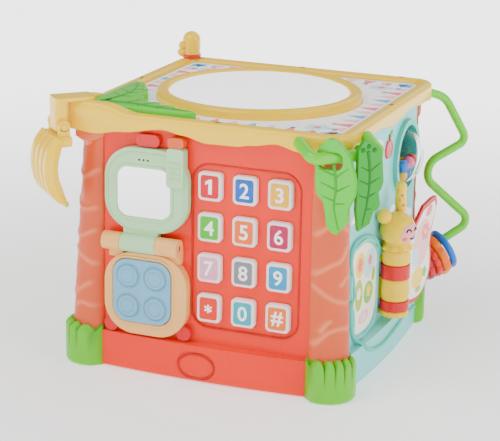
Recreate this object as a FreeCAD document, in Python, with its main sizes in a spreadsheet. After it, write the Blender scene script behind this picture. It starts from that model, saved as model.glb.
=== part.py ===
import FreeCAD, Part

import math
import os

import Sketcher
from FreeCAD import Placement, Rotation, Vector

# Baby activity cube, in millimetres.  Frame: +Z up, origin at the centre of the underside,
# keypad face towards -Y, butterfly face towards +X.
#
# Every side is drawn in a side frame: x runs across the face, z runs up and the outward
# direction is -y.  Turning the side frame about Z gives the real place of the side.  A
# corner is the same frame turned to the diagonal.
FRONT, RIGHT, REAR, LEFT = 0, 90, 180, 270
FRONT_RIGHT, REAR_RIGHT, REAR_LEFT, FRONT_LEFT = 45, 135, 225, 315
FRONT_CORNERS = (FRONT_RIGHT, FRONT_LEFT)
CORNERS = {"front_right": FRONT_RIGHT, "rear_right": REAR_RIGHT,
           "rear_left": REAR_LEFT, "front_left": FRONT_LEFT}

DRIVING_SIZES = {
    # shell
    "body_width": 210, "panel_wall": 3, "corner_leg": 21, "panel_top": 196, "floor_gap": 1,
    "trim_height": 29, "trim_proud": 5, "trim_bulge": 4, "base_plate": 3,
    # trunks and feet
    "trunk_bulge": 3.4, "trunk_flare": 3, "trunk_side": 0.8, "front_swell": 4.6,
    "front_flare": 7.6, "foot_height": 34, "foot_side": 18.6, "foot_reach": 7, "foot_bulge": 9,
    "front_reach": 4.5,
    # top frame, deck and drum
    "frame_width": 225, "frame_top": 203, "frame_corner": 18, "frame_wall": 3, "rim_width": 11,
    "deck_drop": 4, "skirt_drop": 9, "raise_height": 6, "label_gauge": 0.6,
    "ring_outer": 162, "ring_inner": 142, "ring_top": 207, "opening": 148, "skin_top": 206,
    "tray_depth": 8,
    # keypad
    "key_width": 19, "key_height": 22, "key_corner": 3.5, "key_column": 27.8, "key_row": 31.8,
    "key_proud": 4, "key_lip": 1.2, "keypad_u": 32.3, "keypad_v": 106.2, "keypad_corner": 14,
    # phone
    "phone_u": -46, "phone_width": 68.5, "phone_corner": 24, "barrel_v": 103.7, "barrel_size": 14,
    "barrel_width": 62.5, "knuckle_width": 29, "phone_low": 31, "phone_gauge": 8,
    "flip_low": 113.5, "flip_high": 181, "flip_gauge": 6.4, "pad_width": 48, "pad_height": 50,
    "pad_v": 65.6, "bump_size": 17, "mirror_width": 44, "mirror_height": 39,
    # butterfly and bee
    "bee_axis": 12.5, "bee_size": 23, "bee_core": 9, "bee_low": 36, "bee_neck": 90,
    "head_size": 28, "page_gauge": 2.6, "page_angle": 8,
    # rattle
    "rattle_u": 53, "rattle_v": 151, "rattle_ball": 50, "rattle_bezel": 61,
    # hooks, wire and rings
    "bar_size": 9, "bar_reach": 158, "bar_level": 190, "bar_half": 27,
    "wire_size": 7, "ring_hole": 23.6, "ring_tube": 6,
    "banana_radius": 38.5, "banana_size": 12.4, "banana_pitch": 10, "banana_level": 160,
    # fits
    "gap": 0.3, "running_gap": 0.05,
}


class Size:
    """A number that also carries the spreadsheet expression it comes from."""

    def __init__(self, value, text):
        self.value = value
        self.text = text

    def _with(self, other, sign, value):
        return Size(value, f"({self.text} {sign} {words(other)})")

    def __add__(self, other):
        return self._with(other, "+", self.value + number(other))

    def __sub__(self, other):
        return self._with(other, "-", self.value - number(other))

    def __mul__(self, other):
        return self._with(other, "*", self.value * number(other))

    def __truediv__(self, other):
        return self._with(other, "/", self.value / number(other))

    def __radd__(self, other):
        return Size(number(other) + self.value, f"({words(other)} + {self.text})")

    def __rsub__(self, other):
        return Size(number(other) - self.value, f"({words(other)} - {self.text})")

    def __rmul__(self, other):
        return Size(number(other) * self.value, f"({words(other)} * {self.text})")

    def __neg__(self):
        return Size(-self.value, f"(-1 * {self.text})")


def number(size):
    """The plain value of a Size or of a number."""
    return size.value if isinstance(size, Size) else float(size)


def words(size):
    """The expression of a Size or of a number."""
    return size.text if isinstance(size, Size) else repr(float(size))


class Sheet:
    """The spreadsheet of driving sizes; each alias is an attribute of this object."""

    def __init__(self, document, sizes):
        self.cells = document.addObject("Spreadsheet::Sheet", "Sizes")
        for row, (alias, value) in enumerate(sizes.items(), start=1):
            self.cells.set(f"A{row}", alias)
            self.cells.set(f"B{row}", str(value))
            self.cells.setAlias(f"B{row}", alias)
            setattr(self, alias, Size(float(value), f"Sizes.{alias}"))


DOC = FreeCAD.newDocument("ActivityCube")
S = Sheet(DOC, DRIVING_SIZES)
DOC.recompute()
NODES = {}

# Distances from the centre axis, measured outwards along a side frame.
PANEL = S.body_width / 2
PANEL_BACK = PANEL - S.panel_wall
PANEL_HALF = PANEL - S.corner_leg
TRIM = PANEL + S.trim_proud
FRAME = S.frame_width / 2
DECK = S.frame_top - S.deck_drop
SKIRT_LOW = S.frame_top - S.skirt_drop
DIAGONAL = math.sqrt(0.5)
CORNER_FACE = (PANEL_HALF + PANEL) * DIAGONAL
CORNER_BACK = (PANEL_HALF + PANEL_BACK) * DIAGONAL
CORNER_TRIM = (PANEL_HALF + TRIM) * DIAGONAL


# ---------------------------------------------------------------- building blocks

def bind(thing, path, size):
    """Set a property of a document object from a size."""
    thing.setExpression(path, words(size))


def turned(thing, angle):
    """Turn a finished object from the side frame to its own side."""
    thing.Placement = Placement(Vector(), Rotation(Vector(0, 0, 1), angle))
    return thing


def keep(thing, name):
    """Register an object as the node of that name."""
    thing.Label = name
    NODES[name] = thing
    return thing


def new_body(name):
    return DOC.addObject("PartDesign::Body", f"body_{name}")


def sketch_on(body, plane, offset):
    """Empty sketch on an origin plane of a body, lifted by a bound offset."""
    sketch = body.newObject("Sketcher::SketchObject", "Sketch")
    support = next(item for item in body.Origin.OriginFeatures if item.Role == plane)
    sketch.AttachmentSupport = [(support, "")]
    sketch.MapMode = "FlatFace"
    bind(sketch, "AttachmentOffset.Base.z", offset)
    return sketch


def fix(sketch, kind, *reference, size):
    """Add a dimension to a sketch and bind it to a size."""
    index = sketch.addConstraint(Sketcher.Constraint(kind, *reference, number(size)))
    label = f"dimension_{index}"
    sketch.renameConstraint(index, label)
    sketch.setExpression(f"Constraints.{label}", words(size))


def arc_between(start, end, sagitta):
    """Arc from start to end whose middle stands off the chord by the sagitta."""
    chord = end - start
    radius = (chord.Length ** 2 / 4 + sagitta ** 2) / (2 * abs(sagitta))
    outward = Vector(chord.y, -chord.x, 0).normalize() * math.copysign(1, sagitta)
    centre = (start + end) / 2 + outward * (abs(sagitta) - radius)
    first, last = (start, end) if sagitta > 0 else (end, start)
    angles = [math.atan2(point.y - centre.y, point.x - centre.x) for point in (first, last)]
    return Part.ArcOfCircle(Part.Circle(centre, Vector(0, 0, 1), radius), *angles)


def outline(sketch, points, bulges=None):
    """Closed outline through bound points; bulges gives the sagitta of some of its edges.

    The points run anticlockwise, and a positive sagitta bulges outwards.
    """
    bulges = bulges or {}
    places = [Vector(number(x), number(y), 0) for x, y in points]
    ends = []
    for index, start in enumerate(places):
        end = places[(index + 1) % len(places)]
        sagitta = bulges.get(index)
        if sagitta is None:
            ends.append((sketch.addGeometry(Part.LineSegment(start, end)), 1, 2))
            continue
        edge = sketch.addGeometry(arc_between(start, end, number(sagitta)))
        ends.append((edge, 1, 2) if number(sagitta) > 0 else (edge, 2, 1))
    for index, (edge, first, last) in enumerate(ends):
        following, start, _ = ends[(index + 1) % len(ends)]
        sketch.addConstraint(Sketcher.Constraint("Coincident", edge, last, following, start))
        x, y = points[index]
        fix(sketch, "DistanceX", -1, 1, edge, first, size=x)
        fix(sketch, "DistanceY", -1, 1, edge, first, size=y)
    for index, sagitta in bulges.items():
        (ax, ay), (bx, by) = points[index], points[(index + 1) % len(points)]
        depth = sagitta if number(sagitta) > 0 else -1 * sagitta
        chord_squared = (bx - ax) * (bx - ax) + (by - ay) * (by - ay)
        radius = (chord_squared / 4 + depth * depth) / (2 * depth)
        fix(sketch, "Radius", ends[index][0], size=radius)
    return sketch


def rounded(sketch, centre, width, height, corner):
    """Rectangle with round corners, or a plain one where the corner is None."""
    (x, y), half_x, half_y = centre, width / 2, height / 2
    left, right, low, high = x - half_x, x + half_x, y - half_y, y + half_y
    if corner is None:
        return outline(sketch, [(left, low), (right, low), (right, high), (left, high)])
    sagitta = corner * (1 - DIAGONAL)
    points = [(left + corner, low), (right - corner, low), (right, low + corner),
              (right, high - corner), (right - corner, high), (left + corner, high),
              (left, high - corner), (left, low + corner)]
    return outline(sketch, points, {1: sagitta, 3: sagitta, 5: sagitta, 7: sagitta})


def circle(sketch, centre, diameter):
    """Circle with a bound centre and diameter."""
    x, y = centre
    middle = Vector(number(x), number(y), 0)
    edge = sketch.addGeometry(Part.Circle(middle, Vector(0, 0, 1), number(diameter) / 2))
    fix(sketch, "DistanceX", -1, 1, edge, 3, size=x)
    fix(sketch, "DistanceY", -1, 1, edge, 3, size=y)
    fix(sketch, "Diameter", edge, size=diameter)
    return sketch


def pad(body, sketch, length):
    feature = body.newObject("PartDesign::Pad", "Pad")
    feature.Profile = sketch
    bind(feature, "Length", length)
    return feature


def pocket(body, sketch, depth):
    feature = body.newObject("PartDesign::Pocket", "Pocket")
    feature.Profile = sketch
    bind(feature, "Length", depth)
    return feature


def fillet(body, radius, chosen):
    """Fillet the edges of a body's present shape for which chosen(edge) is true."""
    DOC.recompute()
    base = body.Tip
    names = [f"Edge{index}" for index, edge in enumerate(base.Shape.Edges, start=1)
             if chosen(edge)]
    feature = body.newObject("PartDesign::Fillet", "Fillet")
    feature.Base = (base, names)
    bind(feature, "Radius", radius)
    return feature


def plan_prism(body, low, high, points, bulges=None):
    """Prism on a plan outline between two levels."""
    return pad(body, outline(sketch_on(body, "XY_Plane", low), points, bulges), high - low)


def plan_slab(body, low, high, centre, width, depth, corner=None):
    """Upright slab on a rectangular plan outline."""
    sketch = rounded(sketch_on(body, "XY_Plane", low), centre, width, depth, corner)
    return pad(body, sketch, high - low)


def plan_disc(body, low, high, centre, diameter):
    return pad(body, circle(sketch_on(body, "XY_Plane", low), centre, diameter), high - low)


def face_slab(body, back, front, centre, width, height, corner=None):
    """Slab drawn on the face of a side, from its back distance to its front distance."""
    sketch = rounded(sketch_on(body, "XZ_Plane", back), centre, width, height, corner)
    return pad(body, sketch, front - back)


def face_disc(body, back, front, centre, diameter):
    return pad(body, circle(sketch_on(body, "XZ_Plane", back), centre, diameter), front - back)


def face_prism(body, back, front, points, bulges=None):
    return pad(body, outline(sketch_on(body, "XZ_Plane", back), points, bulges), front - back)


def face_cut(body, back, front, centre, width, height, corner=None):
    """Pocket with a rectangular outline between two distances of a side."""
    sketch = rounded(sketch_on(body, "XZ_Plane", front), centre, width, height, corner)
    return pocket(body, sketch, front - back)


def face_bore(body, back, front, centre, diameter):
    return pocket(body, circle(sketch_on(body, "XZ_Plane", front), centre, diameter),
                  front - back)


def plan_cut(body, low, high, centre, width, depth, corner=None):
    sketch = rounded(sketch_on(body, "XY_Plane", high), centre, width, depth, corner)
    return pocket(body, sketch, high - low)


def plan_bore(body, low, high, centre, diameter):
    return pocket(body, circle(sketch_on(body, "XY_Plane", high), centre, diameter),
                  high - low)


def boolean(kind, name, base, tool):
    """Part::Cut, Part::Fuse or Part::Common of two objects."""
    result = DOC.addObject(f"Part::{kind}", name)
    result.Base = base
    result.Tool = tool
    return result


def primitive(kind, name, place, rotation=None, **sizes):
    """Part primitive with bound sizes at a bound place of the side frame."""
    thing = DOC.addObject(f"Part::{kind}", name)
    thing.Placement = Placement(Vector(), rotation or Rotation())
    for key, size in sizes.items():
        bind(thing, key, size)
    for axis, size in zip("xyz", place):
        bind(thing, f"Placement.Base.{axis}", size)
    return thing


def fused(name, pieces):
    """One object made of several touching ones."""
    result = DOC.addObject("Part::MultiFuse", name)
    result.Shapes = pieces
    return result


def group(name, pieces):
    """Separate solids of one kind that are kept in one node."""
    result = DOC.addObject("Part::Compound", name)
    result.Links = pieces
    return result


def feature(name, shape, angle=0):
    """Object with a shape made here from the sheet's values."""
    result = DOC.addObject("Part::Feature", name)
    result.Shape = shape
    turn = Placement(Vector(), Rotation(Vector(0, 0, 1), angle))
    result.Placement = turn.multiply(shape.Placement)
    return result


# ---------------------------------------------------------------- shell

def side_panel(name):
    """Panel wall between two trunks, with the trim that bulges out below it."""
    body = new_body(name)
    wall_depth = (PANEL_BACK + PANEL) / 2
    plan_slab(body, S.floor_gap, S.panel_top, (0, -wall_depth), PANEL_HALF * 2, S.panel_wall)
    trim = [(-PANEL_HALF, -PANEL), (-PANEL_HALF, -TRIM), (PANEL_HALF, -TRIM),
            (PANEL_HALF, -PANEL)]
    plan_prism(body, S.floor_gap, S.trim_height, trim, {1: S.trim_bulge})
    return body


def key_places():
    """Centres of the twelve keys with their names, row by row from the top."""
    rows = (("1", "2", "3"), ("4", "5", "6"), ("7", "8", "9"), ("star", "0", "hash"))
    for row, names in enumerate(rows):
        for column, label in enumerate(names):
            u = S.keypad_u + S.key_column * (column - 1)
            v = S.keypad_v + S.key_row * (1.5 - row)
            yield f"key_{label}", (u, v)


def front_panel():
    body = side_panel("front_panel")
    field = (S.keypad_u, S.keypad_v)
    width, height = S.key_column * 3 + 3, S.key_row * 4 + 1
    face_cut(body, PANEL - 0.8, PANEL + 1, field, width, height, S.keypad_corner)
    sketch = sketch_on(body, "XZ_Plane", PANEL + 1)
    for _, centre in key_places():
        rounded(sketch, centre, S.key_width + S.gap * 2, S.key_height + S.gap * 2,
                S.key_corner + S.gap)
    pocket(body, sketch, S.panel_wall + 2)
    oval = sketch_on(body, "XZ_Plane", TRIM + S.trim_bulge + 1)
    rounded(oval, (-3, 13), S.key_width + 12, S.key_height - 1, S.key_height / 2 - 0.6)
    rounded(oval, (-3, 13), S.key_width + 9, S.key_height - 4, S.key_height / 2 - 2.1)
    pocket(body, oval, 2)
    keep(turned(body, FRONT), "front_panel")


def butterfly_outline(margin):
    """Left wing of the butterfly on the panel, drawn from the bee outwards."""
    return [(-8 - margin, 98 - margin), (-30, 106 - margin), (-62, 108 - margin),
            (-75 + margin, 92), (-71 + margin, 62), (-66 + margin, 42),
            (-52, 31 + margin), (-16, 33 + margin), (-8 - margin, 40 + margin)]


WING_BULGES = {1: 2, 2: 6, 3: 2, 4: -2, 5: 4, 6: 3}


def right_panel():
    body = side_panel("right_panel")
    border = sketch_on(body, "XZ_Plane", PANEL)
    outline(border, butterfly_outline(0), WING_BULGES)
    outline(border, butterfly_outline(3), WING_BULGES)
    pad(body, border, 1.6)
    hole = S.rattle_ball + 6.6
    face_bore(body, PANEL_BACK - 1, PANEL + 1, (S.rattle_u, S.rattle_v), hole)
    keep(turned(body, RIGHT), "right_panel")


def left_panel():
    body = side_panel("left_panel")
    face_bore(body, PANEL_BACK - 1, PANEL + 1, (0, S.keypad_v), 8 + S.running_gap * 2)
    keep(turned(body, LEFT), "left_panel")


SPEAKER_PLACE = (-40, 140)
SWITCH_PLACE = (45, 60)


def rear_panel():
    """Plain panel with round sound holes and a slot for the power switch."""
    body = side_panel("rear_panel")
    u, v = SPEAKER_PLACE
    grille = sketch_on(body, "XZ_Plane", PANEL + 1)
    circle(grille, (u, v), 5)
    for ring, count in ((9, 6), (17, 12)):
        for index in range(count):
            angle = 2 * math.pi * index / count
            circle(grille, (u + ring * math.cos(angle), v + ring * math.sin(angle)), 5)
    pocket(body, grille, S.panel_wall + 2)
    face_cut(body, PANEL_BACK - 1, PANEL + 1, SWITCH_PLACE, 18, 6.6)
    keep(turned(body, REAR), "rear_panel")


BATTERY_PLACE = (0, 46)
BATTERY_PITCH = 15.2
BATTERY_SIZE = 14.2
BATTERY_LENGTH = 50.4


def base_plate():
    """Floor of the cube with a battery box that opens downwards."""
    body = new_body("base_plate")
    half, corner = PANEL_BACK, PANEL_HALF
    points = [(-corner, -half), (corner, -half), (half, -corner), (half, corner),
              (corner, half), (-corner, half), (-half, corner), (-half, -corner)]
    plan_prism(body, 0, S.base_plate, points)
    plan_slab(body, S.base_plate, 22, BATTERY_PLACE, 62, 56)
    plan_cut(body, -1, 20, BATTERY_PLACE, 56, 50)
    plan_cut(body, -1, 2, BATTERY_PLACE, 66, 60, 4)
    keep(body, "base_plate")


def battery_door():
    body = new_body("battery_door")
    plan_slab(body, 0, 2, BATTERY_PLACE, 66 - S.gap * 2, 60 - S.gap * 2, 4)
    keep(body, "battery_door")


def batteries():
    cells = []
    for index in (-1, 0, 1):
        x, y = BATTERY_PLACE
        place = (x - BATTERY_LENGTH / 2, y + index * BATTERY_PITCH, 2 + BATTERY_SIZE / 2)
        cells.append(primitive("Cylinder", "battery", place, Rotation(Vector(0, 1, 0), 90),
                               Radius=BATTERY_SIZE / 2, Height=BATTERY_LENGTH))
    keep(group("batteries", cells), "batteries")


# ---------------------------------------------------------------- trunks and feet

def trunk_section(sketch, side, reach):
    """Section of a trunk: it closes the chamfered corner and bulges outwards."""
    inner = CORNER_BACK - PANEL_HALF * math.sqrt(2)
    face = CORNER_FACE - PANEL_HALF * math.sqrt(2)
    shoulder = CORNER_FACE + 1
    points = [(inner, -CORNER_BACK), (-inner, -CORNER_BACK), (-face, -CORNER_FACE),
              (-face - side, -shoulder), (face + side, -shoulder), (face, -CORNER_FACE)]
    return outline(sketch, points, {3: reach})


def trunk(name, angle):
    """Tree-trunk corner column, flared towards its foot."""
    body = new_body(name)
    low = sketch_on(body, "XY_Plane", S.foot_height)
    high = sketch_on(body, "XY_Plane", S.panel_top)
    swell, flare = (S.front_swell, S.front_flare) if angle in FRONT_CORNERS else (0, 0)
    trunk_section(low, S.trunk_side, S.trunk_bulge + S.trunk_flare + swell + flare)
    trunk_section(high, S.trunk_side / 2, S.trunk_bulge + swell)
    loft = body.newObject("PartDesign::AdditiveLoft", "Loft")
    loft.Profile = low
    loft.Sections = [high]
    loft.Ruled = True
    return turned(body, angle)


def foot(angle):
    """Rounded foot that wraps the lower end of a trunk; the front feet reach further."""
    body = new_body("foot")
    inner = CORNER_BACK - PANEL_HALF * math.sqrt(2)
    face = CORNER_FACE - PANEL_HALF * math.sqrt(2)
    trim = CORNER_TRIM - PANEL_HALF * math.sqrt(2)
    further = S.front_reach if angle in FRONT_CORNERS else 0
    front = CORNER_TRIM + S.foot_reach + further
    points = [(inner, -CORNER_BACK), (-inner, -CORNER_BACK), (-face, -CORNER_FACE),
              (-trim, -CORNER_TRIM), (-S.foot_side, -front), (S.foot_side, -front),
              (trim, -CORNER_TRIM), (face, -CORNER_FACE)]
    plan_prism(body, 0, S.foot_height, points, {4: S.foot_bulge + further / 2})
    reach = number(front)

    def top_front(edge):
        box = edge.BoundBox
        return box.ZMin > number(S.foot_height) - 0.1 and box.YMax < 0.1 - reach

    def bottom_front(edge):
        box = edge.BoundBox
        return box.ZMax < 0.1 and box.YMax < 0.1 - reach

    fillet(body, 5, top_front)
    fillet(body, 3, bottom_front)
    return body


# ---------------------------------------------------------------- wire and its rings

WIRE_CORNERS = ((143, 195.5), (167, 188), (190, 149.5), (142.7, 128), (198.6, 78.3),
                (134, 46))
WIRE_RADII = (22, 7.2, 13.9, 8.2)


def bent_path(places, radii):
    """Straight runs between points, joined by tangent arcs."""
    edges, start = [], places[0]
    for before, corner, after, radius in zip(places, places[1:], places[2:], radii):
        back, ahead = (before - corner).normalize(), (after - corner).normalize()
        half = back.getAngle(ahead) / 2
        setback = radius / math.tan(half)
        middle = (back + ahead).normalize() * (radius / math.sin(half) - radius)
        first, last = corner + back * setback, corner + ahead * setback
        edges.append(Part.LineSegment(start, first).toShape())
        edges.append(Part.Arc(first, corner + middle, last).toShape())
        start = last
    edges.append(Part.LineSegment(start, places[-1]).toShape())
    return Part.Wire(edges)


def tube(path, diameter):
    """Round rod along a path."""
    edge = path.OrderedEdges[0]
    direction = edge.tangentAt(edge.FirstParameter)
    profile = Part.Wire(Part.makeCircle(diameter / 2, path.OrderedVertexes[0].Point, direction))
    return path.makePipeShell([profile], True, False)


def bead_wire():
    """Bent wire of the bead maze, plugged into the frame and the rear right trunk."""
    places = [Vector(0, -reach, level) for reach, level in WIRE_CORNERS]
    shape = tube(bent_path(places, WIRE_RADII), number(S.wire_size))
    return keep(feature("bead_wire", shape, REAR_RIGHT), "bead_wire")


# The rings hang on the lowest straight run of the wire.
RUN_START = Vector(0, -WIRE_CORNERS[-2][0], WIRE_CORNERS[-2][1])
RUN_END = Vector(0, -WIRE_CORNERS[-1][0], WIRE_CORNERS[-1][1])
RUN = (RUN_END - RUN_START).normalize()
RING_STEPS = {"blue_ring": 33.7, "orange_bead": 41.5, "red_bead": 48.4, "crimson_bead": 55.3}


def hanging_ring(name, make):
    """Ring made about the z axis, then hung on the wire with its hole's top on the wire."""
    down = Vector(1, 0, 0).cross(RUN)
    if down.z > 0:
        down = down * -1
    drop = number(S.ring_hole) / 2 - number(S.wire_size) / 2 - 0.1
    shape = make()
    turn = Rotation(Vector(0, 0, 1), RUN)
    shape.Placement = Placement(RUN_START + RUN * RING_STEPS[name] + down * drop, turn)
    keep(feature(name, shape, REAR_RIGHT), name)


def plain_ring():
    tube_radius = number(S.ring_tube) / 2
    return Part.makeTorus(number(S.ring_hole) / 2 + tube_radius, tube_radius)


def petal_ring(outer, thickness, petals):
    """Flat bead with a petalled edge and a large hole."""
    base = Part.makeCylinder(outer / 2 - 3, thickness, Vector(0, 0, -thickness / 2))
    for index in range(petals):
        angle = 2 * math.pi * index / petals
        place = Vector((outer / 2 - 5) * math.cos(angle), (outer / 2 - 5) * math.sin(angle),
                       -thickness / 2)
        base = base.fuse(Part.makeCylinder(5, thickness, place))
    hole = Part.makeCylinder(number(S.ring_hole) / 2, thickness * 2, Vector(0, 0, -thickness))
    return base.cut(hole).removeSplitter()


def disc_bead(outer, thickness):
    """Flat round bead with softened edges and a large hole."""
    disc = Part.makeCylinder(outer / 2, thickness, Vector(0, 0, -thickness / 2))
    disc = disc.makeFillet(thickness / 3, disc.Edges[:1] + disc.Edges[2:])
    hole = Part.makeCylinder(number(S.ring_hole) / 2, thickness * 2, Vector(0, 0, -thickness))
    return disc.cut(hole)


def wire_beads():
    hanging_ring("blue_ring", plain_ring)
    hanging_ring("orange_bead", lambda: petal_ring(39, 7, 8))
    hanging_ring("red_bead", lambda: disc_bead(36, 6))
    hanging_ring("crimson_bead", lambda: disc_bead(34, 6))


def corner_columns(wire):
    """The four trunks, with the wire's socket in the rear right one, and the four feet."""
    feet = []
    for name, angle in CORNERS.items():
        column = trunk(name, angle)
        if angle == REAR_RIGHT:
            column = boolean("Cut", f"trunk_{name}", column, wire)
        keep(column, f"trunk_{name}")
        feet.append(turned(foot(angle), angle))
    keep(group("grass_feet", feet), "grass_feet")


# ---------------------------------------------------------------- top frame and drum

POST_REACH = 147
RAISE_LENGTH = 52
SKIRT_WAVES = ((-100, -42, 5), (-24, 50, 7), (62, 97, 9))


def frame_square(body, low, high, half, corner):
    return plan_slab(body, low, high, (0, 0), half * 2, half * 2, corner)


def top_frame(wire, bar):
    """Top moulding: deck, rim, wavy skirt and the raised corner that carries the handle."""
    body = new_body("top_frame")
    frame_square(body, SKIRT_LOW, S.frame_top, FRAME, S.frame_corner)
    inside, inside_corner = FRAME - S.frame_wall, S.frame_corner - S.frame_wall
    plan_cut(body, SKIRT_LOW - 1, S.panel_top, (0, 0), inside * 2, inside * 2, inside_corner)
    deck_half = FRAME - S.rim_width
    plan_cut(body, DECK, S.frame_top + 1, (0, 0), deck_half * 2, deck_half * 2, 8)
    plan_bore(body, S.panel_top - 1, DECK + 1, (0, 0), S.opening)
    for start, end, drop in SKIRT_WAVES:
        wave = [(start, SKIRT_LOW), (end, SKIRT_LOW), (end, SKIRT_LOW + 1),
                (start, SKIRT_LOW + 1)]
        face_prism(body, FRAME - S.frame_wall, FRAME, wave, {0: drop})
    handle_corner(body, SKIRT_LOW - CORNER_DROP, S.frame_top)
    raised_corner(body, deck_half)
    post_x, post_y = -POST_REACH * DIAGONAL, POST_REACH * DIAGONAL
    plan_bore(body, S.panel_top - 1, S.frame_top + 1, (post_x, post_y), 6 + S.running_gap * 2)
    socketed = boolean("Cut", "frame_wire_socket", body, wire)
    keep(boolean("Cut", "top_frame", socketed, bar), "top_frame")


CORNER_DROP = 5
CORNER_TIP = 4


def handle_corner(body, low, high):
    """Fill the rounded front left corner of the frame out to a nearly sharp one."""
    straight, tip = FRAME - S.frame_corner, FRAME - CORNER_TIP
    points = [(-FRAME, -straight), (-FRAME, -tip), (-tip, -FRAME), (-straight, -FRAME)]
    plan_prism(body, low, high, points, {1: CORNER_TIP * (1 - DIAGONAL)})


def raised_corner(body, deck_half):
    """Ridge round the front left corner of the rim, sloping back down to it."""
    tip = FRAME - CORNER_TIP
    end = FRAME - RAISE_LENGTH
    sagitta = CORNER_TIP * (1 - DIAGONAL)
    points = [(-FRAME, -end), (-FRAME, -tip), (-tip, -FRAME), (-end, -FRAME),
              (-end, -deck_half), (-deck_half, -deck_half), (-deck_half, -end)]
    plan_prism(body, S.frame_top, S.frame_top + S.raise_height, points, {1: sagitta})
    high = S.frame_top + S.raise_height + 1
    slope = [(-end - 30, high), (1 - end, S.frame_top), (1 - end, high)]
    ramp = outline(sketch_on(body, "XZ_Plane", FRAME + 1), slope)
    pocket(body, ramp, S.rim_width + 2)
    side_slope = [(-end - 30, high), (1 - end, high), (1 - end, S.frame_top)]
    side_ramp = outline(sketch_on(body, "YZ_Plane", 0 - FRAME - 1), side_slope)
    pocket(body, side_ramp, S.rim_width + 2).Reversed = True


def deck_label():
    """Printed card on the deck round the drum, cut back under the palm leaf."""
    body = new_body("deck_label")
    half = FRAME - S.rim_width - 1
    frame_square(body, DECK, DECK + S.label_gauge, half, 7)
    plan_bore(body, DECK - 1, DECK + 1, (0, 0), S.ring_outer + 1)
    keep(body, "deck_label")


def drum_ring():
    body = new_body("drum_ring")
    sketch = sketch_on(body, "XY_Plane", DECK)
    circle(sketch, (0, 0), S.ring_outer)
    circle(sketch, (0, 0), S.ring_inner)
    pad(body, sketch, S.ring_top - DECK)
    top = number(S.ring_top)
    fillet(body, 3.5, lambda edge: edge.BoundBox.ZMin > top - 0.1)
    keep(body, "drum_ring")


def drum_skin():
    """Drum head: a domed cup that slides in the ring and is held by a flange under it."""
    body = new_body("drum_skin")
    plan_disc(body, S.panel_top, DECK - 0.2, (0, 0), S.opening - 1.2)
    plan_disc(body, DECK - 0.2, S.skin_top, (0, 0), S.ring_inner - 0.6)
    plan_bore(body, S.panel_top - 1, S.skin_top - 2.4, (0, 0), S.ring_inner - 8)
    top = number(S.skin_top)
    fillet(body, 2, lambda edge: edge.BoundBox.ZMin > top - 0.1)
    keep(body, "drum_skin")


def drum_tray():
    """Dish under the deck that the drum head is pressed towards."""
    body = new_body("drum_tray")
    low = S.panel_top - S.tray_depth
    plan_disc(body, low, S.panel_top, (0, 0), S.opening + 14)
    plan_bore(body, low + 2, S.panel_top + 1, (0, 0), S.opening + 4)
    keep(body, "drum_tray")


def palm_leaf_cover():
    """Two-lobed palm leaf that lies on the deck behind the raised corner."""
    body = new_body("palm_leaf_cover")
    near = FRAME - S.rim_width - 0.5
    points = [(-near, -near + 4), (-near + 4, -near), (-60, -near), (-14, -98.5), (-58, -70), (-76, -74), (-67, -62),
              (-80, -32), (-93, -14), (-near, -20)]
    plan_prism(body, DECK + S.label_gauge, S.frame_top + 3.4, points,
               {2: 1, 3: 7, 6: 3, 7: 3})
    keep(body, "palm_leaf_cover")


# ---------------------------------------------------------------- banana handle

HANDLE_PIVOT = (164.5, 191)
HANDLE_PIN = 5


def banana_bracket():
    """Arm over the raised corner, with the block that holds the handle's pin."""
    body = new_body("banana_bracket")
    reach, level = HANDLE_PIVOT
    low = S.frame_top + S.raise_height
    plan_slab(body, low, low + 3, (0, -(138 + reach + 5) / 2), 18, reach + 5 - 138, 3)
    plan_slab(body, level - 4, low + 1, (0, -reach), 18, 10, 3)
    pin_bore = sketch_on(body, "YZ_Plane", 20)
    circle(pin_bore, (-reach, level), HANDLE_PIN + S.running_gap * 2)
    pocket(body, pin_bore, 40)
    keep(turned(body, FRONT_LEFT), "banana_bracket")


def banana_pin():
    reach, level = HANDLE_PIVOT
    pin = primitive("Cylinder", "banana_pin", (-15, -reach, level),
                    Rotation(Vector(0, 1, 0), 90), Radius=HANDLE_PIN / 2, Height=30)
    keep(fused_at("banana_pin_turned", [pin], FRONT_LEFT), "banana_pin")


def fused_at(name, pieces, angle):
    """Pieces of one moulding, fused in the side frame and turned to their side."""
    whole = group(name, pieces) if len(pieces) == 1 else fused(name, pieces)
    return turned(whole, angle)


def one_banana(u):
    """Crescent with a tapered tip, hanging in the plane x = u of the corner frame."""
    radius, size = number(S.banana_radius), number(S.banana_size)
    middle = HANDLE_PIVOT[0] + 12 - radius

    def at(degrees):
        angle = math.radians(degrees)
        return Vector(u, -middle - radius * math.cos(angle),
                      number(S.banana_level) + radius * math.sin(angle))

    crescent = tube(Part.Wire([Part.Arc(at(34), at(0), at(-40)).toShape()]), size)
    tip_direction = Vector(0, math.sin(math.radians(40)), -math.cos(math.radians(40)))
    tip = Part.makeCone(size / 2, size / 6, 8, at(-40), tip_direction)
    return crescent.fuse(tip)


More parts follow.
